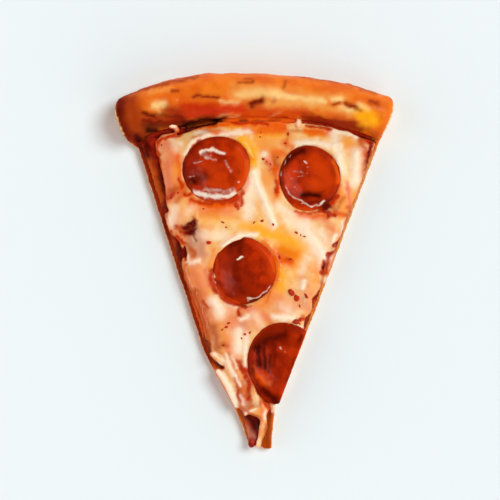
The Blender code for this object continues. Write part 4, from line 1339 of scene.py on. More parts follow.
@dataclass
class Crust:
    """Dough from the tip to the browned rim.

    Attributes:
        grain: Size of the skin's faces, in millimetres.
        crest: Distance of the rim's crest from the pizza's centre, in millimetres.
        foot: Distance of the rim's foot from the pizza's centre, in millimetres.
        middle: Height of the middle of the rim's section, in millimetres.
        half_width: Half the section's width, in millimetres.
        half_height: Half the section's height, in millimetres.
        swell: Height of the skin's broad lumps, in millimetres.
        ripple: Height of its fine lumps, in millimetres.
        blister: Height of its large blisters, in millimetres.
        bubble: Height of its small blisters, in millimetres.
        groove: Depth of the groove at the rim's foot, in millimetres.
        tear: Unevenness of the cut sides, in millimetres.
        bake: Unevenness of the dough under the sauce, in millimetres.
        pits: Scorched pits in the rim's skin, with their depths in millimetres.
        wrinkles: Raised wrinkles of the skin at the rim's foot, with their heights.
    """

    grain: float = 0.85
    crest: float = 168.0
    foot: float = 157.6
    middle: float = 9.6
    half_width: float = 10.2
    half_height: float = 9.6
    swell: float = 0.32
    ripple: float = 0.10
    blister: float = 0.35
    bubble: float = 0.12
    groove: float = 0.7
    tear: float = 0.25
    bake: float = 0.18
    pits: tuple[Stroke, ...] = (
        Stroke(((-3.2, 163.6), (1.2, 165.8)), 1.3, 0.7),
        Stroke(((40.5, 164.6), (44.5, 162.4)), 1.0, 0.6),
        Stroke(((-29.0, 167.8), (-18.0, 167.3)), 0.8, 0.4),
        Stroke(((-53.5, 160.3), (-46.5, 157.6)), 0.9, 0.6),
        Stroke(((-49.0, 151.6),), 1.6, 0.8),
        Stroke(((23.0, 157.0), (45.0, 154.8)), 1.2, 0.5),
    )
    wrinkles: tuple[Stroke, ...] = (
        Stroke(((-19.0, 158.7), (-12.5, 160.0)), 0.9, 0.6),
        Stroke(((-14.0, 157.4), (-8.6, 158.8)), 0.8, 0.4),
        Stroke(((3.0, 157.6), (10.0, 160.2)), 0.9, 0.6),
        Stroke(((-49.0, 163.3), (-45.0, 164.2)), 1.6, 0.5),
        Stroke(((47.0, 163.0), (50.0, 161.0)), 1.4, 0.5),
        Stroke(((30.0, 158.2), (39.0, 156.6)), 0.8, 0.4),
    )

    def build(self, finish: CrustFinish) -> bpy.types.Object:
        """Model, paint and dress the crust.

        Args:
            finish: Its finish.

        Returns:
            The finished piece.
        """
        form = Form("baked_crust", [node_copy("crust")], self.grain)
        form.relax(2)
        places, normals = form.places(), form.normals()
        away = np.hypot(places[:, 0], places[:, 1])
        across = (normals[:, 0] * places[:, 1] - normals[:, 1] * places[:, 0]) / away
        tip = ease(-0.5, -0.8, normals[:, 1]) * (1.0 - ease(9.0, 12.0, away))
        cut = np.maximum(ease(0.5, 0.8, np.abs(across)), tip)
        rim = ease(self.foot - 0.5, self.foot + 2.5, away)
        crumb = cut * self.inside(places, away)
        pores = bubbles(places, 3.4, 1.0, 0.42) * rim + bubbles(places, 1.7, 2.0, 0.4) * (1 - rim)
        skin = rim * ease(-0.6, 0.0, normals[:, 2]) * (1.0 - cut)
        height = skin * self.skin_relief(places)
        height -= crumb * pores * (0.25 + 0.75 * rim)
        height += cut * self.tear * lumps(places, 2.2, 3.0, 2)
        foot = hump(away, self.foot + 0.6, 0.9) * hump(places[:, 2], 6.5, 2.5)
        height -= self.groove * foot * (1.0 - cut) * ease(-8.0, -18.0, places[:, 0])
        bare = ease(0.6, 0.9, normals[:, 2]) * (1.0 - rim)
        height += bare * self.bake * lumps(places, 3.5, 4.0, 2)
        form.move_to(places + normals * height[:, None])
        under = ease(-0.3, -0.75, normals[:, 2])
        form.paint("crumb", crumb)
        form.paint("under", under)
        form.wash(CRUST_WASHES, places, (1.0 - under) * (1.0 - 0.7 * crumb))
        return form.dress(finish.material(), "crust")

    def inside(self, places: np.ndarray, away: np.ndarray) -> np.ndarray:
        """Where a cut face shows crumb and not skin.

        Args:
            places: Places of the points, in millimetres.
            away: Their distances from the pizza's centre.

        Returns:
            One share for each point.
        """
        height = places[:, 2]
        flat = ease(0.4, 1.1, height) * ease(4.3, 3.6, height) * ease(self.foot + 6.0, self.foot, away)
        section = np.hypot((away - self.crest) / self.half_width, (height - self.middle) / self.half_height)
        return np.maximum(flat, ease(0.93, 0.80, section))

    def skin_relief(self, places: np.ndarray) -> np.ndarray:
        """Work out the lumps, wrinkles, blisters and pits of the rim's skin.

        Args:
            places: Places of the points, in millimetres.

        Returns:
            One height in millimetres for each point.
        """
        seen = as_seen(places)
        relief = self.swell * lumps(places, 7.0, 5.0, 2) + self.ripple * lumps(places, 1.8, 6.0, 2)
        relief += self.blister * bubbles(places, 6.5, 7.0, 0.33)
        relief += self.bubble * bubbles(places, 2.4, 8.0, 0.35)
        return relief + add_strokes(seen, self.wrinkles) - add_strokes(seen, self.pits)


@dataclass
class Sauce:
    """Thin tomato sauce that shows along the cuts and through holes in the cheese.

    Attributes:
        grain: Size of the skin's faces, in millimetres.
        drop: Place of the drop at the tip.
        drop_size: Half sizes of the drop, in millimetres.
        drop_height: Height of its middle, in millimetres.
        ripple: Height of its lumps, in millimetres.
        blister: Height of its blisters, in millimetres.
        seams: Sauce that has baked in the crease at the rim's foot.
    """

    grain: float = 0.7
    drop: Place = (-3.0, 8.2)
    drop_size: tuple[float, float, float] = (1.7, 2.4, 1.3)
    drop_height: float = 6.0
    ripple: float = 0.22
    blister: float = 0.25
    seams: tuple[Strand, ...] = (
        Strand(((-17.0, 155.9, 7.2, 1.6), (-8.0, 156.7, 7.8, 1.9),
                (4.0, 156.9, 8.0, 2.0), (20.0, 155.6, 7.8, 1.9))),
        Strand(((20.0, 155.9, 7.2, 1.7), (34.0, 153.5, 7.0, 1.7),
                (46.0, 150.3, 6.8, 1.6), (51.0, 148.6, 6.4, 1.3))),
        Strand(((-50.0, 150.0, 6.0, 2.2), (-44.0, 151.2, 6.4, 2.0), (-34.0, 152.9, 6.4, 1.3))),
    )

    def build(self, finish: SauceFinish) -> bpy.types.Object:
        """Model, paint and dress the sauce.

        Args:
            finish: Its finish.

        Returns:
            The finished piece.
        """
        drop = bead(self.drop, self.drop_height, self.drop_size)
        bodies = [node_copy("sauce"), drop]
        for seam in self.seams:
            bodies += seam.beads()
        form = Form("tomato_sauce", bodies, self.grain)
        form.relax(1)
        places, normals = form.places(), form.normals()
        top = ease(0.2, 0.6, normals[:, 2])
        height = self.ripple * lumps(places, 2.4, 11.0, 2) + self.blister * bubbles(places, 3.1, 12.0, 0.4)
        form.move_to(places + normals * (top * height)[:, None])
        form.wash(SAUCE_WASHES, places, 1.0)
        return form.dress(finish.material(), "sauce")


@dataclass
class Cheese:
    """Melted cheese with drawn-out strands, holes, oil and baked spots.

    Attributes:
        grain: Size of the skin's faces, in millimetres.
        floor: Height of its underside, in millimetres.
        squeeze: How far it closes in on the pepperoni, in millimetres.
        bank: How far it rises beside the pepperoni, in millimetres.
        swell: Height of its broad lumps, in millimetres.
        ripple: Height of its fine lumps, in millimetres.
        waver: How unevenly its sides run, in millimetres.
        strands: Strands at the tip, along the margins, at the rim's foot and over a pepperoni's edge.
        ridges: Raised strokes, with their heights in millimetres.
        dents: Holes and creases, with their depths in millimetres.
    """

    grain: float = 0.55
    floor: float = 6.3
    squeeze: float = 0.8
    bank: float = 0.45
    swell: float = 0.34
    ripple: float = 0.16
    waver: float = 0.35
    strands: tuple[Strand, ...] = (
        Strand(((-18.2, 41.0, 8.4, 1.7), (-14.0, 34.5, 8.4, 2.0),
                (-11.2, 28.0, 7.8, 1.5), (-10.2, 25.0, 7.2, 1.1))),
        Strand(((3.0, 23.0, 7.6, 1.3), (2.1, 18.2, 7.3, 1.4), (0.8, 12.0, 7.0, 1.0), (-0.2, 7.2, 7.2, 1.0))),
        Strand(((7.4, 26.0, 7.4, 0.8), (6.9, 19.0, 6.6, 0.6))),
        Strand(((-5.0, 27.0, 7.8, 1.2), (-5.7, 21.6, 7.3, 1.1))),
        Strand(((-4.2, 22.3, 7.8, 0.5), (-0.8, 23.9, 8.2, 0.6))),
        Strand(((-39.7, 153.5, 11.6, 1.5), (-38.2, 153.2, 11.0, 1.3), (-37.0, 151.4, 8.6, 1.3))),
        Strand(((-42.0, 113.0, 7.6, 0.9), (-40.4, 107.4, 7.6, 1.2), (-38.6, 103.6, 7.6, 1.0))),
        Strand(((18.6, 154.0, 8.6, 1.7), (18.8, 157.4, 8.8, 1.3))),
        Strand(((-21.2, 49.0, 8.0, 1.2), (-18.9, 47.3, 8.0, 1.5),
                (-17.0, 45.3, 8.0, 1.3), (-15.2, 43.8, 7.8, 0.9))),
        Strand(((-37.6, 103.6, 7.8, 1.0), (-35.4, 101.2, 7.6, 1.0), (-34.6, 97.8, 7.4, 0.7))),
        Strand(((-33.9, 92.5, 7.8, 0.9), (-34.2, 89.5, 7.6, 0.9),
                (-33.0, 85.0, 7.6, 0.9), (-30.6, 79.0, 7.6, 0.9))),
        Strand(((35.2, 97.0, 7.4, 1.2), (32.4, 91.5, 7.3, 1.8),
                (31.2, 86.0, 7.4, 1.5), (30.2, 82.0, 7.6, 0.9))),
        Strand(((-18.0, 154.4, 8.0, 1.1), (-6.0, 155.3, 8.2, 1.2),
                (6.0, 155.4, 8.2, 1.2), (16.0, 154.7, 8.2, 1.1))),
        Strand(((21.0, 154.0, 8.2, 1.1), (33.0, 152.4, 8.2, 1.0))),
        Strand(((-45.4, 140.0, 7.8, 1.0), (-46.2, 146.0, 7.8, 1.2),
                (-43.5, 148.6, 7.8, 1.3), (-38.5, 149.4, 7.9, 1.1))),
        Strand(((-17.8, 96.8, 10.2, 1.0), (-14.8, 99.6, 10.2, 1.3),
                (-11.0, 101.9, 10.2, 1.1), (-8.0, 103.0, 9.8, 0.9))),
        Strand(((-29.2, 77.0, 7.1, 1.4), (-26.6, 70.5, 7.1, 1.5),
                (-24.4, 64.0, 7.1, 1.4), (-23.2, 56.0, 7.1, 1.1))),
        Strand(((34.0, 152.0, 8.6, 0.8), (38.0, 151.2, 8.6, 0.6),
                (41.0, 150.6, 8.5, 0.8), (45.6, 148.4, 8.4, 0.6))),
    )
    ridges: tuple[Stroke, ...] = (
        Stroke(((-33.6, 141.5), (-30.5, 147.5), (-23.0, 151.0)), 1.1, 0.6),
        Stroke(((-2.0, 137.0), (-1.0, 128.0), (3.0, 119.5), (7.2, 108.5)), 1.3, 0.8),
        Stroke(((18.0, 146.6), (26.0, 146.6), (34.0, 144.6)), 1.0, 0.6),
        Stroke(((37.2, 139.5), (38.5, 133.0)), 1.2, 0.6),
        Stroke(((45.0, 141.5), (45.0, 128.0)), 1.8, 0.5),
        Stroke(((-16.4, 99.2), (-13.0, 102.2), (-8.0, 104.0), (-1.0, 104.0)), 0.9, 0.8),
        Stroke(((35.5, 103.0), (34.4, 101.0)), 1.0, 0.8),
        Stroke(((39.0, 109.5), (38.3, 103.5)), 0.9, 0.6),
        Stroke(((21.4, 82.2), (20.3, 79.6)), 0.9, 0.7),
        Stroke(((27.6, 70.3), (28.2, 67.5)), 0.8, 0.6),
        Stroke(((-31.5, 90.4), (-27.5, 91.9)), 0.9, 0.6),
        Stroke(((-20.0, 72.5), (-17.0, 69.0)), 2.0, 0.5),
        Stroke(((-9.0, 58.5), (-8.8, 52.0)), 1.8, 0.5),
        Stroke(((7.6, 66.4), (15.5, 65.6)), 1.1, 0.7),
        Stroke(((17.0, 62.6), (20.5, 61.4)), 0.7, 0.5),
        Stroke(((-20.4, 48.9), (-19.6, 48.2)), 1.0, 0.7),
        Stroke(((-18.5, 47.6), (-14.0, 44.5), (-11.0, 39.0)), 0.8, 0.6),
        Stroke(((-15.0, 48.5), (-9.0, 36.0), (-8.3, 33.0)), 0.7, 0.6),
        Stroke(((-12.0, 48.0), (-9.0, 41.0), (-6.8, 30.0)), 0.6, 0.5),
        Stroke(((-6.0, 55.0), (-6.8, 48.0), (-6.5, 42.5)), 0.6, 0.6),
        Stroke(((-1.0, 31.0), (-0.8, 25.5)), 1.3, 0.6),
        Stroke(((1.8, 29.0), (2.2, 23.0)), 0.9, 0.4),
        Stroke(((-41.0, 146.0), (-38.0, 141.0)), 2.0, 0.4),
        Stroke(((-33.4, 107.4), (-32.4, 107.0)), 1.0, 0.9),
        Stroke(((-31.0, 107.6), (-30.4, 108.6)), 0.9, 1.0),
        Stroke(((-30.4, 109.8), (-28.8, 111.2)), 0.8, 0.7),
        Stroke(((-36.6, 107.2), (-35.6, 106.6)), 0.8, 0.6),
        Stroke(((-30.2, 105.4), (-29.6, 104.6)), 0.7, 0.6),
        Stroke(((22.0, 106.0), (29.0, 95.0)), 2.4, 0.4),
    )
    dents: tuple[Stroke, ...] = (
        Stroke(((-36.8, 98.6), (-35.2, 96.0)), 1.2, 1.4),
        Stroke(((-34.5, 96.0), (-33.7, 92.5)), 0.9, 1.2),
        Stroke(((-29.6, 103.8), (-28.8, 101.2)), 0.8, 0.8),
        Stroke(((36.5, 98.0), (31.5, 93.8)), 0.8, 1.0),
        Stroke(((30.0, 91.0), (29.4, 85.5)), 0.8, 0.5),
        Stroke(((24.8, 66.0), (22.2, 61.0)), 0.8, 1.0),
        Stroke(((27.5, 73.6), (27.5, 72.3)), 1.1, 1.2),
        Stroke(((-9.3, 45.0), (-6.3, 38.0)), 0.8, 0.7),
        Stroke(((-5.3, 40.5), (-4.4, 29.0)), 1.1, 0.8),
        Stroke(((-9.8, 33.0), (-9.0, 27.5)), 0.7, 0.7),
        Stroke(((-28.0, 99.0), (-26.5, 92.0)), 2.4, 0.5),
        Stroke(((9.7, 94.5), (15.0, 92.0)), 1.8, 0.4),
        Stroke(((6.5, 139.0), (9.0, 131.0)), 1.8, 0.4),
        Stroke(((-38.0, 124.5), (-33.5, 126.5)), 1.4, 0.4),
        Stroke(((40.0, 146.0), (44.0, 143.5)), 2.0, 0.4),
    )

    def build(self, finish: CheeseFinish, meats: tuple["Pepperoni", ...]) -> bpy.types.Object:
        """Model, paint and dress the cheese.

        Args:
            finish: Its finish.
            meats: The pepperoni that it lies round.

        Returns:
            The finished piece.
        """
        bodies = [node_copy("cheese")]
        for strand in self.strands:
            bodies += strand.beads()
        form = Form("melted_cheese", bodies, self.grain)
        form.relax(3)
        places, normals = form.places(), form.normals()
        top = ease(0.1, 0.6, normals[:, 2])
        rise = self.swell * lumps(places, 8.0, 14.0, 2) + self.ripple * lumps(places, 2.6, 15.0, 2)
        seen = as_seen(places)
        rise += add_strokes(seen, self.ridges) - add_strokes(seen, self.dents)
        moved = places.copy()
        beside = np.zeros(len(places))
        for meat in meats:
            gap = meat.clearance(places)
            rise += self.bank * hump(gap, 1.1, 0.9)
            close = hump(gap, 0.3, 0.9)
            beside = np.maximum(beside, close)
            toward = (np.array(meat.middle) - places[:, :2]) / (gap + meat.radius)[:, None]
            moved[:, :2] += (self.squeeze * close)[:, None] * toward
        moved[:, 2] = np.maximum(places[:, 2] + top * rise, np.minimum(places[:, 2], self.floor + 0.2))
        side = 1.0 - ease(0.3, 0.7, np.abs(normals[:, 2]))
        sway = self.waver * side * lumps(places, 2.8, 16.0, 2)
        moved[:, :2] += sway[:, None] * normals[:, :2]
        form.move_to(moved)
        form.relax(1)
        slope = ease(0.92, 0.5, normals[:, 2])
        form.paint("thin", np.maximum(slope, ease(8.0, 7.2, places[:, 2])) * (1.0 - 0.6 * beside))
        form.wash(CHEESE_WASHES, places, 1.0)
        return form.dress(finish.material(), "cheese")


@dataclass
class Pepperoni:
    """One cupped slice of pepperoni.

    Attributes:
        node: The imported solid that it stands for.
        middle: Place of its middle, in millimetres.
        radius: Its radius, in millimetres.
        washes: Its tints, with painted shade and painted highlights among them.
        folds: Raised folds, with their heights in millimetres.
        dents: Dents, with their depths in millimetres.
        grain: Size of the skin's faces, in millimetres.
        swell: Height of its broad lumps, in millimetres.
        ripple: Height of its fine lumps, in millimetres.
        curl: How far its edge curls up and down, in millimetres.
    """

    node: str
    middle: Place
    radius: float
    washes: tuple[Wash, ...]
    folds: tuple[Stroke, ...] = ()
    dents: tuple[Stroke, ...] = ()
    grain: float = 0.4
    swell: float = 0.09
    ripple: float = 0.03
    curl: float = 0.2

    def clearance(self, places: np.ndarray) -> np.ndarray:
        """Distance of each place from the pepperoni's outline, in millimetres."""
        away = np.hypot(places[:, 0] - self.middle[0], places[:, 1] - self.middle[1])
        return away - self.radius

    def build(self, finish: PepperoniFinish) -> bpy.types.Object:
        """Model, paint and dress the pepperoni.

        Args:
            finish: Its finish.

        Returns:
            The finished piece.
        """
        form = Form("cupped_" + self.node, [node_copy(self.node)], self.grain)
        form.relax(2)
        places, normals = form.places(), form.normals()
        top = ease(0.0, 0.5, normals[:, 2])
        share = 1.0 + self.clearance(places) / self.radius
        turn = np.arctan2(places[:, 1] - self.middle[1], places[:, 0] - self.middle[0])
        rise = self.swell * lumps(places, 3.4, 19.0, 2) + self.ripple * lumps(places, 0.9, 20.0, 1)
        rise += self.curl * np.sin(3.0 * turn + self.radius) * ease(0.75, 1.0, share)
        seen = as_seen(places)
        rise += add_strokes(seen, self.folds) - add_strokes(seen, self.dents)
        moved = places.copy()
        moved[:, 2] += top * rise
        form.move_to(moved)
        form.wash(self.washes, places, 1.0)
        return form.dress(finish.material(), self.node)


# Each pepperoni's washes paint light and shade as well as colour: painted shade at its upper left, along its
# left edge and in folds in rust and char, a lighter red on its right side as painted light, and painted
# glare and glints in pale.
PEPPERONI = (
    Pepperoni(
        "pepperoni_1",
        (-19.2, 133.8),
        15.4,
        washes=(
            Wash(
                Tint.RUST_AND_SHADE,
                (
                    Stroke(((-28.0, 146.0), (-34.0, 138.0), (-34.5, 130.0), (-31.0, 123.5)), 1.9, 0.85),
                    Stroke(((-30.0, 133.0), (-25.0, 131.0)), 3.4, 0.75),
                    Stroke(((-24.0, 149.0), (-12.0, 148.0), (-5.5, 139.0)), 1.4, 0.2),
                ),
            ),
            Wash(
                Tint.RED,
                (
                    Stroke(((-9.0, 142.0), (-6.5, 133.0), (-8.0, 126.0)), 3.0, 0.9),
                    Stroke(((-22.0, 134.0), (-15.0, 128.0)), 3.4, 0.6),
                    Stroke(((-24.0, 127.0), (-14.0, 126.4)), 1.4, 0.5),
                ),
            ),
            Wash(
                Tint.OIL,
                (
                    Stroke(((-5.0, 138.0), (-4.6, 131.0), (-6.4, 125.4)), 1.1, 0.7),
                    Stroke(((-31.0, 120.6), (-20.0, 118.6), (-9.0, 120.6)), 0.9, 0.4),
                ),
            ),
            Wash(
                Tint.CHAR_AND_SHADE,
                (
                    Stroke(((-30.6, 129.2), (-29.4, 128.2)), 1.9, 1.0),
                    Stroke(((-27.0, 129.6), (-24.5, 131.5)), 2.4, 0.45),
                    Stroke(((-34.0, 136.0), (-34.2, 128.0)), 0.9, 0.5),
                ),
            ),
            # Painted glare crescent at the lower edge and painted glints
            Wash(
                Tint.PALE_AND_HIGHLIGHT,
                (
                    Stroke(((-29.0, 123.4), (-24.0, 121.9), (-18.0, 121.2),
                            (-13.0, 122.0), (-10.4, 123.0)), 1.25, 0.9),
                    Stroke(((-26.4, 142.4), (-21.0, 143.2), (-16.0, 141.2)), 1.0, 0.8),
                    Stroke(((-24.6, 124.9), (-17.0, 124.1), (-11.6, 125.0)), 1.2, 0.42),
                    Stroke(((-24.4, 139.4), (-20.0, 138.4)), 0.7, 0.45),
                    Stroke(((-26.0, 141.0), (-22.0, 140.6)), 1.3, 0.3),
                    Stroke(((-29.8, 136.8), (-26.0, 137.6)), 0.5, 0.4),
                    Stroke(((-15.0, 137.4), (-12.4, 132.6)), 0.9, 0.4),
                    Stroke(((-32.4, 130.6), (-29.6, 131.0)), 0.4, 0.4),
                    Stroke(((-8.8, 128.0),), 0.5, 0.7),
                ),
            ),
        ),
        folds=(
            Stroke(((-29.0, 122.6), (-18.0, 120.4), (-9.0, 123.0)), 1.2, 0.45),
            Stroke(((-26.5, 142.4), (-21.0, 142.9), (-16.0, 141.1)), 0.9, 0.3),
            Stroke(((-30.0, 136.4), (-20.5, 137.8)), 0.8, 0.25),
            Stroke(((-14.6, 137.0), (-12.6, 132.6)), 0.9, 0.2),
        ),
        dents=(Stroke(((-30.2, 128.5),), 1.8, 0.8),),
    ),
    Pepperoni(
        "pepperoni_2",
        (23.6, 129.6),
        14.6,
        washes=(
            Wash(
                Tint.RUST_AND_SHADE,
                (
                    Stroke(((10.5, 133.0), (15.0, 141.5), (24.0, 144.0)), 1.9, 0.85),
                    Stroke(((10.5, 128.0), (13.0, 121.0), (18.0, 117.0)), 1.5, 0.5),
                    Stroke(((34.5, 120.0), (30.0, 117.0)), 2.4, 0.85),
                    Stroke(((31.0, 140.5), (27.0, 142.5)), 1.2, 0.5),
                ),
            ),
            Wash(
                Tint.RED,
                (
                    Stroke(((27.0, 137.0), (32.0, 128.0), (26.0, 127.0)), 4.4, 0.8),
                    Stroke(((14.0, 133.0), (14.0, 127.0)), 2.0, 0.6),
                    Stroke(((16.0, 117.4), (24.0, 114.8)), 1.3, 0.9),
                ),
            ),
            Wash(
                Tint.OIL,
                (
                    Stroke(((34.6, 138.6), (36.8, 133.0), (37.0, 128.0)), 0.9, 0.8),
                    Stroke(((19.0, 115.2), (25.0, 114.2)), 0.8, 0.7),
                ),
            ),
            Wash(
                Tint.CHAR_AND_SHADE,
                (
                    Stroke(((13.5, 138.0), (16.5, 141.0), (20.5, 142.4)), 1.8, 0.85),
                    Stroke(((20.5, 122.2), (28.0, 121.8)), 1.8, 1.0),
                    Stroke(((31.0, 117.6), (34.0, 119.4)), 1.5, 0.7),
                    Stroke(((10.4, 133.0), (11.0, 127.0)), 0.7, 0.6),
                    Stroke(((22.0, 118.4), (29.0, 119.0)), 0.8, 0.5),
                ),
            ),
            # Painted glints along the lower-left rim
            Wash(
                Tint.PALE_AND_HIGHLIGHT,
                (
                    Stroke(((12.8, 126.4), (14.2, 122.4), (19.5, 119.6),
                            (24.6, 117.0), (28.4, 117.4)), 0.5, 0.55),
                    Stroke(((20.0, 118.2), (25.6, 116.6)), 0.4, 0.5),
                    Stroke(((28.6, 118.4), (30.4, 119.8)), 0.55, 0.75),
                    Stroke(((11.0, 133.2), (11.2, 131.2)), 0.45, 0.6),
                    Stroke(((12.6, 138.4), (12.0, 136.6)), 0.45, 0.5),
                    Stroke(((15.0, 141.0), (14.8, 140.0)), 0.5, 0.35),
                    Stroke(((21.6, 138.0), (22.6, 137.0)), 0.5, 0.7),
                    Stroke(((23.2, 135.4),), 0.5, 0.4),
                    Stroke(((16.4, 132.6), (20.0, 132.6)), 0.7, 0.28),
                    Stroke(((18.4, 130.6), (21.0, 131.2)), 0.5, 0.3),
                    Stroke(((16.2, 129.8), (14.6, 128.4)), 0.5, 0.25),
                    Stroke(((22.8, 132.4),), 0.6, 0.5),
                    Stroke(((26.6, 132.2),), 0.4, 0.45),
                    Stroke(((17.0, 126.0),), 0.6, 0.45),
                    Stroke(((17.6, 124.6),), 0.6, 0.25),
                ),
            ),
        ),
        folds=(
            Stroke(((11.2, 134.0), (12.6, 126.0), (14.2, 122.2),
                    (19.5, 119.2), (25.0, 116.8), (29.0, 117.8)), 0.7, 0.35),
            Stroke(((16.0, 132.4), (20.4, 132.0)), 0.8, 0.15),
        ),
        dents=(Stroke(((21.0, 122.6), (28.0, 122.2)), 1.6, 0.5),),
    ),
    Pepperoni(
        "pepperoni_3",
        (-6.4, 87.2),
        15.0,
        washes=(
            Wash(
                Tint.RUST_AND_SHADE,
                (
                    Stroke(((-13.0, 98.0), (-12.0, 88.0), (-11.0, 77.0)), 5.4, 0.75),
                    Stroke(((-5.0, 84.0), (-2.0, 75.0)), 4.0, 0.65),
                    Stroke(((-20.0, 92.0), (-20.0, 84.0), (-15.0, 75.5), (-8.0, 72.4)), 1.0, 0.3),
                ),
            ),
            Wash(
                Tint.RED,
                (
                    Stroke(((1.0, 99.0), (5.8, 92.0), (6.0, 84.0)), 2.2, 0.6),
                    Stroke(((-19.2, 92.0), (-19.0, 84.0)), 0.9, 0.6),
                    Stroke(((-20.6, 81.0), (-15.0, 74.4), (-9.0, 71.8)), 1.0, 0.8),
                ),
            ),
            Wash(Tint.OIL, (Stroke(((6.4, 94.0), (7.6, 87.0)), 1.0, 0.6),)),
            Wash(
                Tint.CHAR_AND_SHADE,
                (
                    Stroke(((-12.5, 98.6), (-8.0, 100.6), (-8.5, 96.5)), 2.4, 0.7),
                    Stroke(((-9.5, 92.0), (-10.0, 80.0), (-6.0, 77.0)), 2.2, 0.35),
                    Stroke(((-5.0, 72.2), (2.0, 74.0), (5.0, 77.4)), 1.1, 0.75),
                ),
            ),
            # Painted glints on the lower-right rim and left edge
            Wash(
                Tint.PALE_AND_HIGHLIGHT,
                (
                    Stroke(((-4.5, 73.8), (-3.0, 74.6)), 0.6, 0.45),
                    Stroke(((-4.3, 74.8), (-1.0, 74.8), (2.6, 76.6), (5.8, 80.4)), 0.5, 0.6),
                    Stroke(((-9.0, 92.2), (-7.4, 93.8)), 0.6, 1.0),
                    Stroke(((-20.2, 85.4), (-20.2, 84.6)), 0.6, 0.9),
                    Stroke(((-21.8, 83.6), (-20.4, 82.2)), 0.6, 0.9),
                ),
            ),
        ),
        folds=(Stroke(((-4.3, 73.6), (2.6, 76.0), (6.2, 80.6)), 0.8, 0.35),),
    ),
    Pepperoni(
        "pepperoni_4",
        (11.6, 45.9),
        17.3,
        washes=(
            Wash(
                Tint.RUST_AND_SHADE,
                (
                    Stroke(((-3.5, 40.0), (-4.0, 50.0), (3.0, 59.0), (12.0, 62.0), (19.0, 60.0)), 2.2, 0.75),
                    Stroke(((15.5, 56.0), (12.0, 46.0), (11.0, 38.0)), 4.0, 0.3),
                    Stroke(((0.0, 33.0), (4.0, 30.0), (8.5, 27.5)), 1.8, 0.8),
                    Stroke(((7.0, 47.0), (8.0, 38.0)), 2.4, 0.5),
                ),
            ),
            Wash(Tint.RED, (Stroke(((17.0, 56.5), (14.6, 50.0)), 2.4, 0.2),)),
            Wash(
                Tint.OIL,
                (
                    Stroke(((0.6, 38.6), (3.0, 36.2), (5.0, 35.0)), 1.5, 0.6),
                    Stroke(((-2.0, 43.0), (-0.6, 39.0)), 0.9, 0.4),
                ),
            ),
            Wash(
                Tint.CHAR_AND_SHADE,
                (
                    Stroke(((0.5, 52.0), (5.0, 56.0), (12.0, 57.6)), 2.8, 0.85),
                    Stroke(((-0.2, 51.6), (0.6, 43.6)), 1.3, 0.95),
                    Stroke(((2.8, 51.0), (3.0, 42.2)), 1.0, 0.85),
                    Stroke(((5.2, 48.4), (4.8, 40.8)), 0.9, 0.8),
                    Stroke(((7.4, 53.0), (7.2, 43.0)), 1.6, 0.5),
                    Stroke(((19.8, 57.5), (19.0, 54.5)), 1.0, 0.7),
                    Stroke(((17.0, 47.0), (13.6, 36.0)), 1.0, 0.4),
                    Stroke(((2.6, 32.0), (7.0, 29.0), (8.6, 26.5)), 1.8, 0.85),
                    Stroke(((-2.6, 42.0), (0.0, 34.5)), 0.7, 0.5),
                ),
            ),
            # Painted glints
            Wash(
                Tint.PALE_AND_HIGHLIGHT,
                (Stroke(((10.4, 51.8), (10.6, 51.0)), 0.6, 0.7), Stroke(((12.0, 49.8),), 0.5, 0.5)),
            ),
        ),
        folds=(
            Stroke(((1.4, 52.6), (1.8, 42.6)), 0.7, 0.22),
            Stroke(((4.2, 50.6), (3.8, 41.0)), 0.7, 0.2),
            Stroke(((-2.0, 48.0), (-1.6, 41.0), (1.6, 36.6)), 0.8, 0.25),
        ),
        dents=(
            Stroke(((-0.2, 51.4), (0.6, 43.6)), 0.8, 0.35),
            Stroke(((2.8, 50.6), (3.0, 42.4)), 0.6, 0.3),
            Stroke(((2.6, 31.5), (8.6, 26.5)), 1.6, 0.5),
        ),
    ),
)


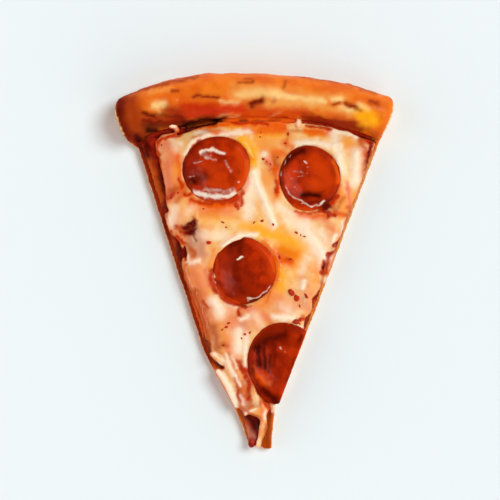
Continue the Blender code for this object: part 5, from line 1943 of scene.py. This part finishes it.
@dataclass
class Flakes:
    """Dried pepper and herb flakes on the cheese.

    Attributes:
        large: Places and lengths in millimetres and turns in degrees of the flakes that stand out.
        small: Places of the tiny flakes between them.
        small_length: Length of a tiny flake, in millimetres.
        turn: Degrees from one tiny flake's direction to the next one's.
        widths: Least and greatest width of a flake, as shares of its length.
        thickness: Its thickness, as a share of its length.
        dent: How uneven it is, as a share of its size.
        dent_size: How far apart its dents are, in millimetres.
        start_height: Height from which it falls on the cheese, in metres.
        seed: Start of the random draws.
    """

    large: tuple[tuple[float, float, float, float], ...] = (
        (17.2, 63.8, 3.4, -12.0),
        (19.5, 65.1, 2.8, 50.0),
        (19.0, 62.9, 1.6, -40.0),
        (-16.1, 109.3, 1.8, -20.0),
        (-22.6, 100.0, 2.4, 0.0),
        (-1.8, 109.3, 1.6, 60.0),
        (1.8, 110.0, 1.6, 20.0),
        (6.9, 108.3, 1.4, -60.0),
        (17.5, 104.6, 1.7, -30.0),
        (21.2, 102.8, 1.6, -10.0),
        (14.8, 92.4, 1.8, 10.0),
        (9.8, 93.2, 2.0, 100.0),
        (15.2, 77.3, 3.7, 117.0),
        (17.7, 74.6, 3.5, 115.0),
        (22.0, 75.6, 3.0, 118.0),
        (19.0, 71.0, 1.6, 110.0),
        (-13.4, 63.2, 1.7, 30.0),
        (-14.6, 61.4, 1.8, 15.0),
        (-16.4, 60.2, 1.4, 40.0),
        (-6.0, 58.1, 1.7, -25.0),
        (-3.8, 58.8, 1.5, 50.0),
        (-8.7, 67.3, 1.9, 80.0),
        (-15.9, 53.0, 1.7, 0.0),
        (-39.6, 120.8, 1.9, 70.0),
        (-36.6, 122.8, 1.4, 30.0),
        (13.8, 149.8, 1.8, 80.0),
        (12.5, 145.5, 1.4, 20.0),
        (2.4, 138.3, 1.6, 10.0),
        (5.6, 136.0, 1.5, -50.0),
        (32.3, 113.4, 2.2, 60.0),
        (35.2, 112.4, 1.4, -70.0),
        (-10.1, 117.1, 2.2, 80.0),
    )
    small: tuple[Place, ...] = (
        (0.9, 148.4),
        (3.9, 137.2),
        (19.5, 103.5),
        (-44.3, 144.8),
        (-25.0, 115.5),
        (-14.6, 107.0),
        (-7.5, 56.2),
        (1.2, 150.4),
        (9.0, 139.0),
    )
    small_length: float = 1.1
    turn: float = 137.5
    widths: tuple[float, float] = (0.4, 0.75)
    thickness: float = 0.36
    dent: float = 0.5
    dent_size: float = 0.35
    start_height: float = 0.05
    seed: int = 5

    def build(self, finish: FlakeFinish, cheese: bpy.types.Object) -> bpy.types.Object:
        """Scatter and dress the flakes.

        Args:
            finish: Their finish.
            cheese: The cheese that they lie on.

        Returns:
            The finished piece.
        """
        draw = np.random.default_rng(self.seed)
        ground = BVHTree.FromObject(cheese, bpy.context.evaluated_depsgraph_get())
        joined = bmesh.new()
        shade = joined.verts.layers.float.new("shade")
        tiny = [(x, y, self.small_length, i * self.turn) for i, (x, y) in enumerate(self.small)]
        for x, y, length, turn in (*self.large, *tiny):
            above = Vector((PIZZA_CENTRE[0] + x * MM, PIZZA_CENTRE[1] + y * MM, self.start_height))
            hit, normal, _, _ = ground.ray_cast(above, Vector((0.0, 0.0, -1.0)))
            if hit is None:
                continue
            made = bmesh.ops.create_icosphere(joined, subdivisions=2, radius=0.5 * MM)["verts"]
            tone = draw.uniform(0.0, 1.0)
            for vert in made:
                vert[shade] = tone
                spot = vert.co / (self.dent_size * MM) + Vector((x, y, 0.0))
                vert.co *= 1.0 + self.dent * noise.noise(spot)
            size = Vector((length, length * draw.uniform(*self.widths), length * self.thickness))
            bmesh.ops.scale(joined, vec=size, verts=made)
            spin = Matrix.Rotation(math.radians(turn), 3, "Z")
            lean = Vector((0.0, 0.0, 1.0)).rotation_difference(normal).to_matrix()
            bmesh.ops.rotate(joined, cent=(0.0, 0.0, 0.0), matrix=lean @ spin, verts=made)
            bmesh.ops.translate(joined, vec=hit, verts=made)
        mesh = bpy.data.meshes.new("dried_flakes")
        joined.to_mesh(mesh)
        joined.free()
        mesh.materials.append(finish.material())
        mesh.shade_smooth()
        piece = bpy.data.objects.new("dried_flakes", mesh)
        bpy.context.scene.collection.objects.link(piece)
        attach(piece, "root")
        LOG.info("dried_flakes: %d flakes", len(self.large) + len(tiny))
        return piece


@dataclass(frozen=True)
class Lamp:
    """Far soft light.

    Attributes:
        name: Its name.
        place: Direction that it shines from.
        strength: How strong it is.
        spread: How wide it looks, in degrees.
        colour: Its colour.
    """

    name: str
    place: tuple[float, float, float]
    strength: float
    spread: float
    colour: Colour

    def build(self) -> None:
        """Hang the light."""
        light = bpy.data.lights.new(self.name, "SUN")
        light.energy = self.strength
        light.angle = math.radians(self.spread)
        light.color = self.colour
        lamp = bpy.data.objects.new(self.name, light)
        lamp.rotation_euler = Vector(self.place).to_track_quat("Z", "Y").to_euler()
        bpy.context.scene.collection.objects.link(lamp)


@dataclass
class Studio:
    """Pale floor, soft lights and the camera over the slice.

    Attributes:
        sensor: Width of its sensor, in millimetres.
        floor_size: Width of the floor, in metres.
        floor_colour: Colour of the floor.
        lamps: The far lights.
        sky_colour: Colour of the glow around.
        sky_low: Its strength at the sides.
        sky_high: Its strength overhead.
    """

    sensor: float = 36.0
    floor_size: float = 4.0
    floor_colour: Colour = (0.83, 0.875, 0.882)
    lamps: tuple[Lamp, ...] = (
        Lamp("key", (0.60, 0.30, 1.0), 2.2, 32.0, (0.88, 1.0, 0.99)),
        Lamp("fill", (0.55, -0.55, 0.55), 0.7, 50.0, (0.92, 1.0, 1.0)),
        Lamp("edge", (-0.80, -0.05, 0.55), 0.75, 60.0, (0.92, 1.0, 0.99)),
    )
    sky_colour: Colour = (1.0, 0.73, 0.77)
    sky_low: float = 1.55
    sky_high: float = 0.05

    def build(self) -> None:
        """Make the floor, the lights and the camera."""
        self.make_floor()
        for lamp in self.lamps:
            lamp.build()
        self.make_sky()
        self.make_camera()

    def make_floor(self) -> None:
        """Lay the pale floor under the slice."""
        body = bmesh.new()
        bmesh.ops.create_grid(body, x_segments=1, y_segments=1, size=self.floor_size / 2)
        mesh = bpy.data.meshes.new("floor")
        body.to_mesh(mesh)
        body.free()
        surface = Surface("pale_floor")
        mesh.materials.append(
            surface.finish(Base_Color=self.floor_colour, Roughness=0.9, Specular_IOR_Level=0.0)
        )
        floor = bpy.data.objects.new("floor", mesh)
        bpy.context.scene.collection.objects.link(floor)

    def make_sky(self) -> None:
        """Surround the slice with an even glow that is bright at the sides and dim overhead."""
        world = bpy.data.worlds.new("sky")
        world.use_nodes = True
        nodes, links = world.node_tree.nodes, world.node_tree.links
        background = nodes["Background"]
        background.inputs["Color"].default_value = (*self.sky_colour, 1.0)
        toward = nodes.new("ShaderNodeTexCoord")
        split = nodes.new("ShaderNodeSeparateXYZ")
        fade = nodes.new("ShaderNodeMapRange")
        fade.interpolation_type = "SMOOTHSTEP"
        ends = {"From Min": 0.15, "From Max": 0.65, "To Min": self.sky_low, "To Max": self.sky_high}
        for name, value in ends.items():
            fade.inputs[name].default_value = value
        links.new(toward.outputs["Generated"], split.inputs[0])
        links.new(split.outputs["Z"], fade.inputs["Value"])
        links.new(fade.outputs[0], background.inputs["Strength"])
        bpy.context.scene.world = world

    def make_camera(self) -> None:
        """Set the camera over the slice, at the picture's angle and width."""
        data = bpy.data.cameras.new("camera")
        data.sensor_width = self.sensor
        camera = bpy.data.objects.new("camera", data)
        data.lens = self.sensor * VIEW_DISTANCE / VIEW_WIDTH
        target = Vector((*PIZZA_CENTRE, 0.0)) + Vector((*VIEW_CENTRE, 0.0)) * MM
        back = Vector((0.0, -math.cos(VIEW_ELEVATION), math.sin(VIEW_ELEVATION)))
        camera.location = target + VIEW_DISTANCE * MM * back
        camera.rotation_euler = back.to_track_quat("Z", "Y").to_euler()
        bpy.context.scene.collection.objects.link(camera)
        bpy.context.scene.camera = camera
        bpy.context.scene.view_settings.view_transform = "Standard"


def main() -> None:
    """Build the slice and the studio, and log how many points and flakes the pieces have."""
    logging.basicConfig(level=logging.INFO, format="%(name)s %(message)s")
    Crust().build(CrustFinish())
    Sauce().build(SauceFinish())
    cheese = Cheese().build(CheeseFinish(), PEPPERONI)
    for meat in PEPPERONI:
        meat.build(PepperoniFinish())
    Flakes().build(FlakeFinish(), cheese)
    Studio().build()


if __name__ == "__main__":
    main()
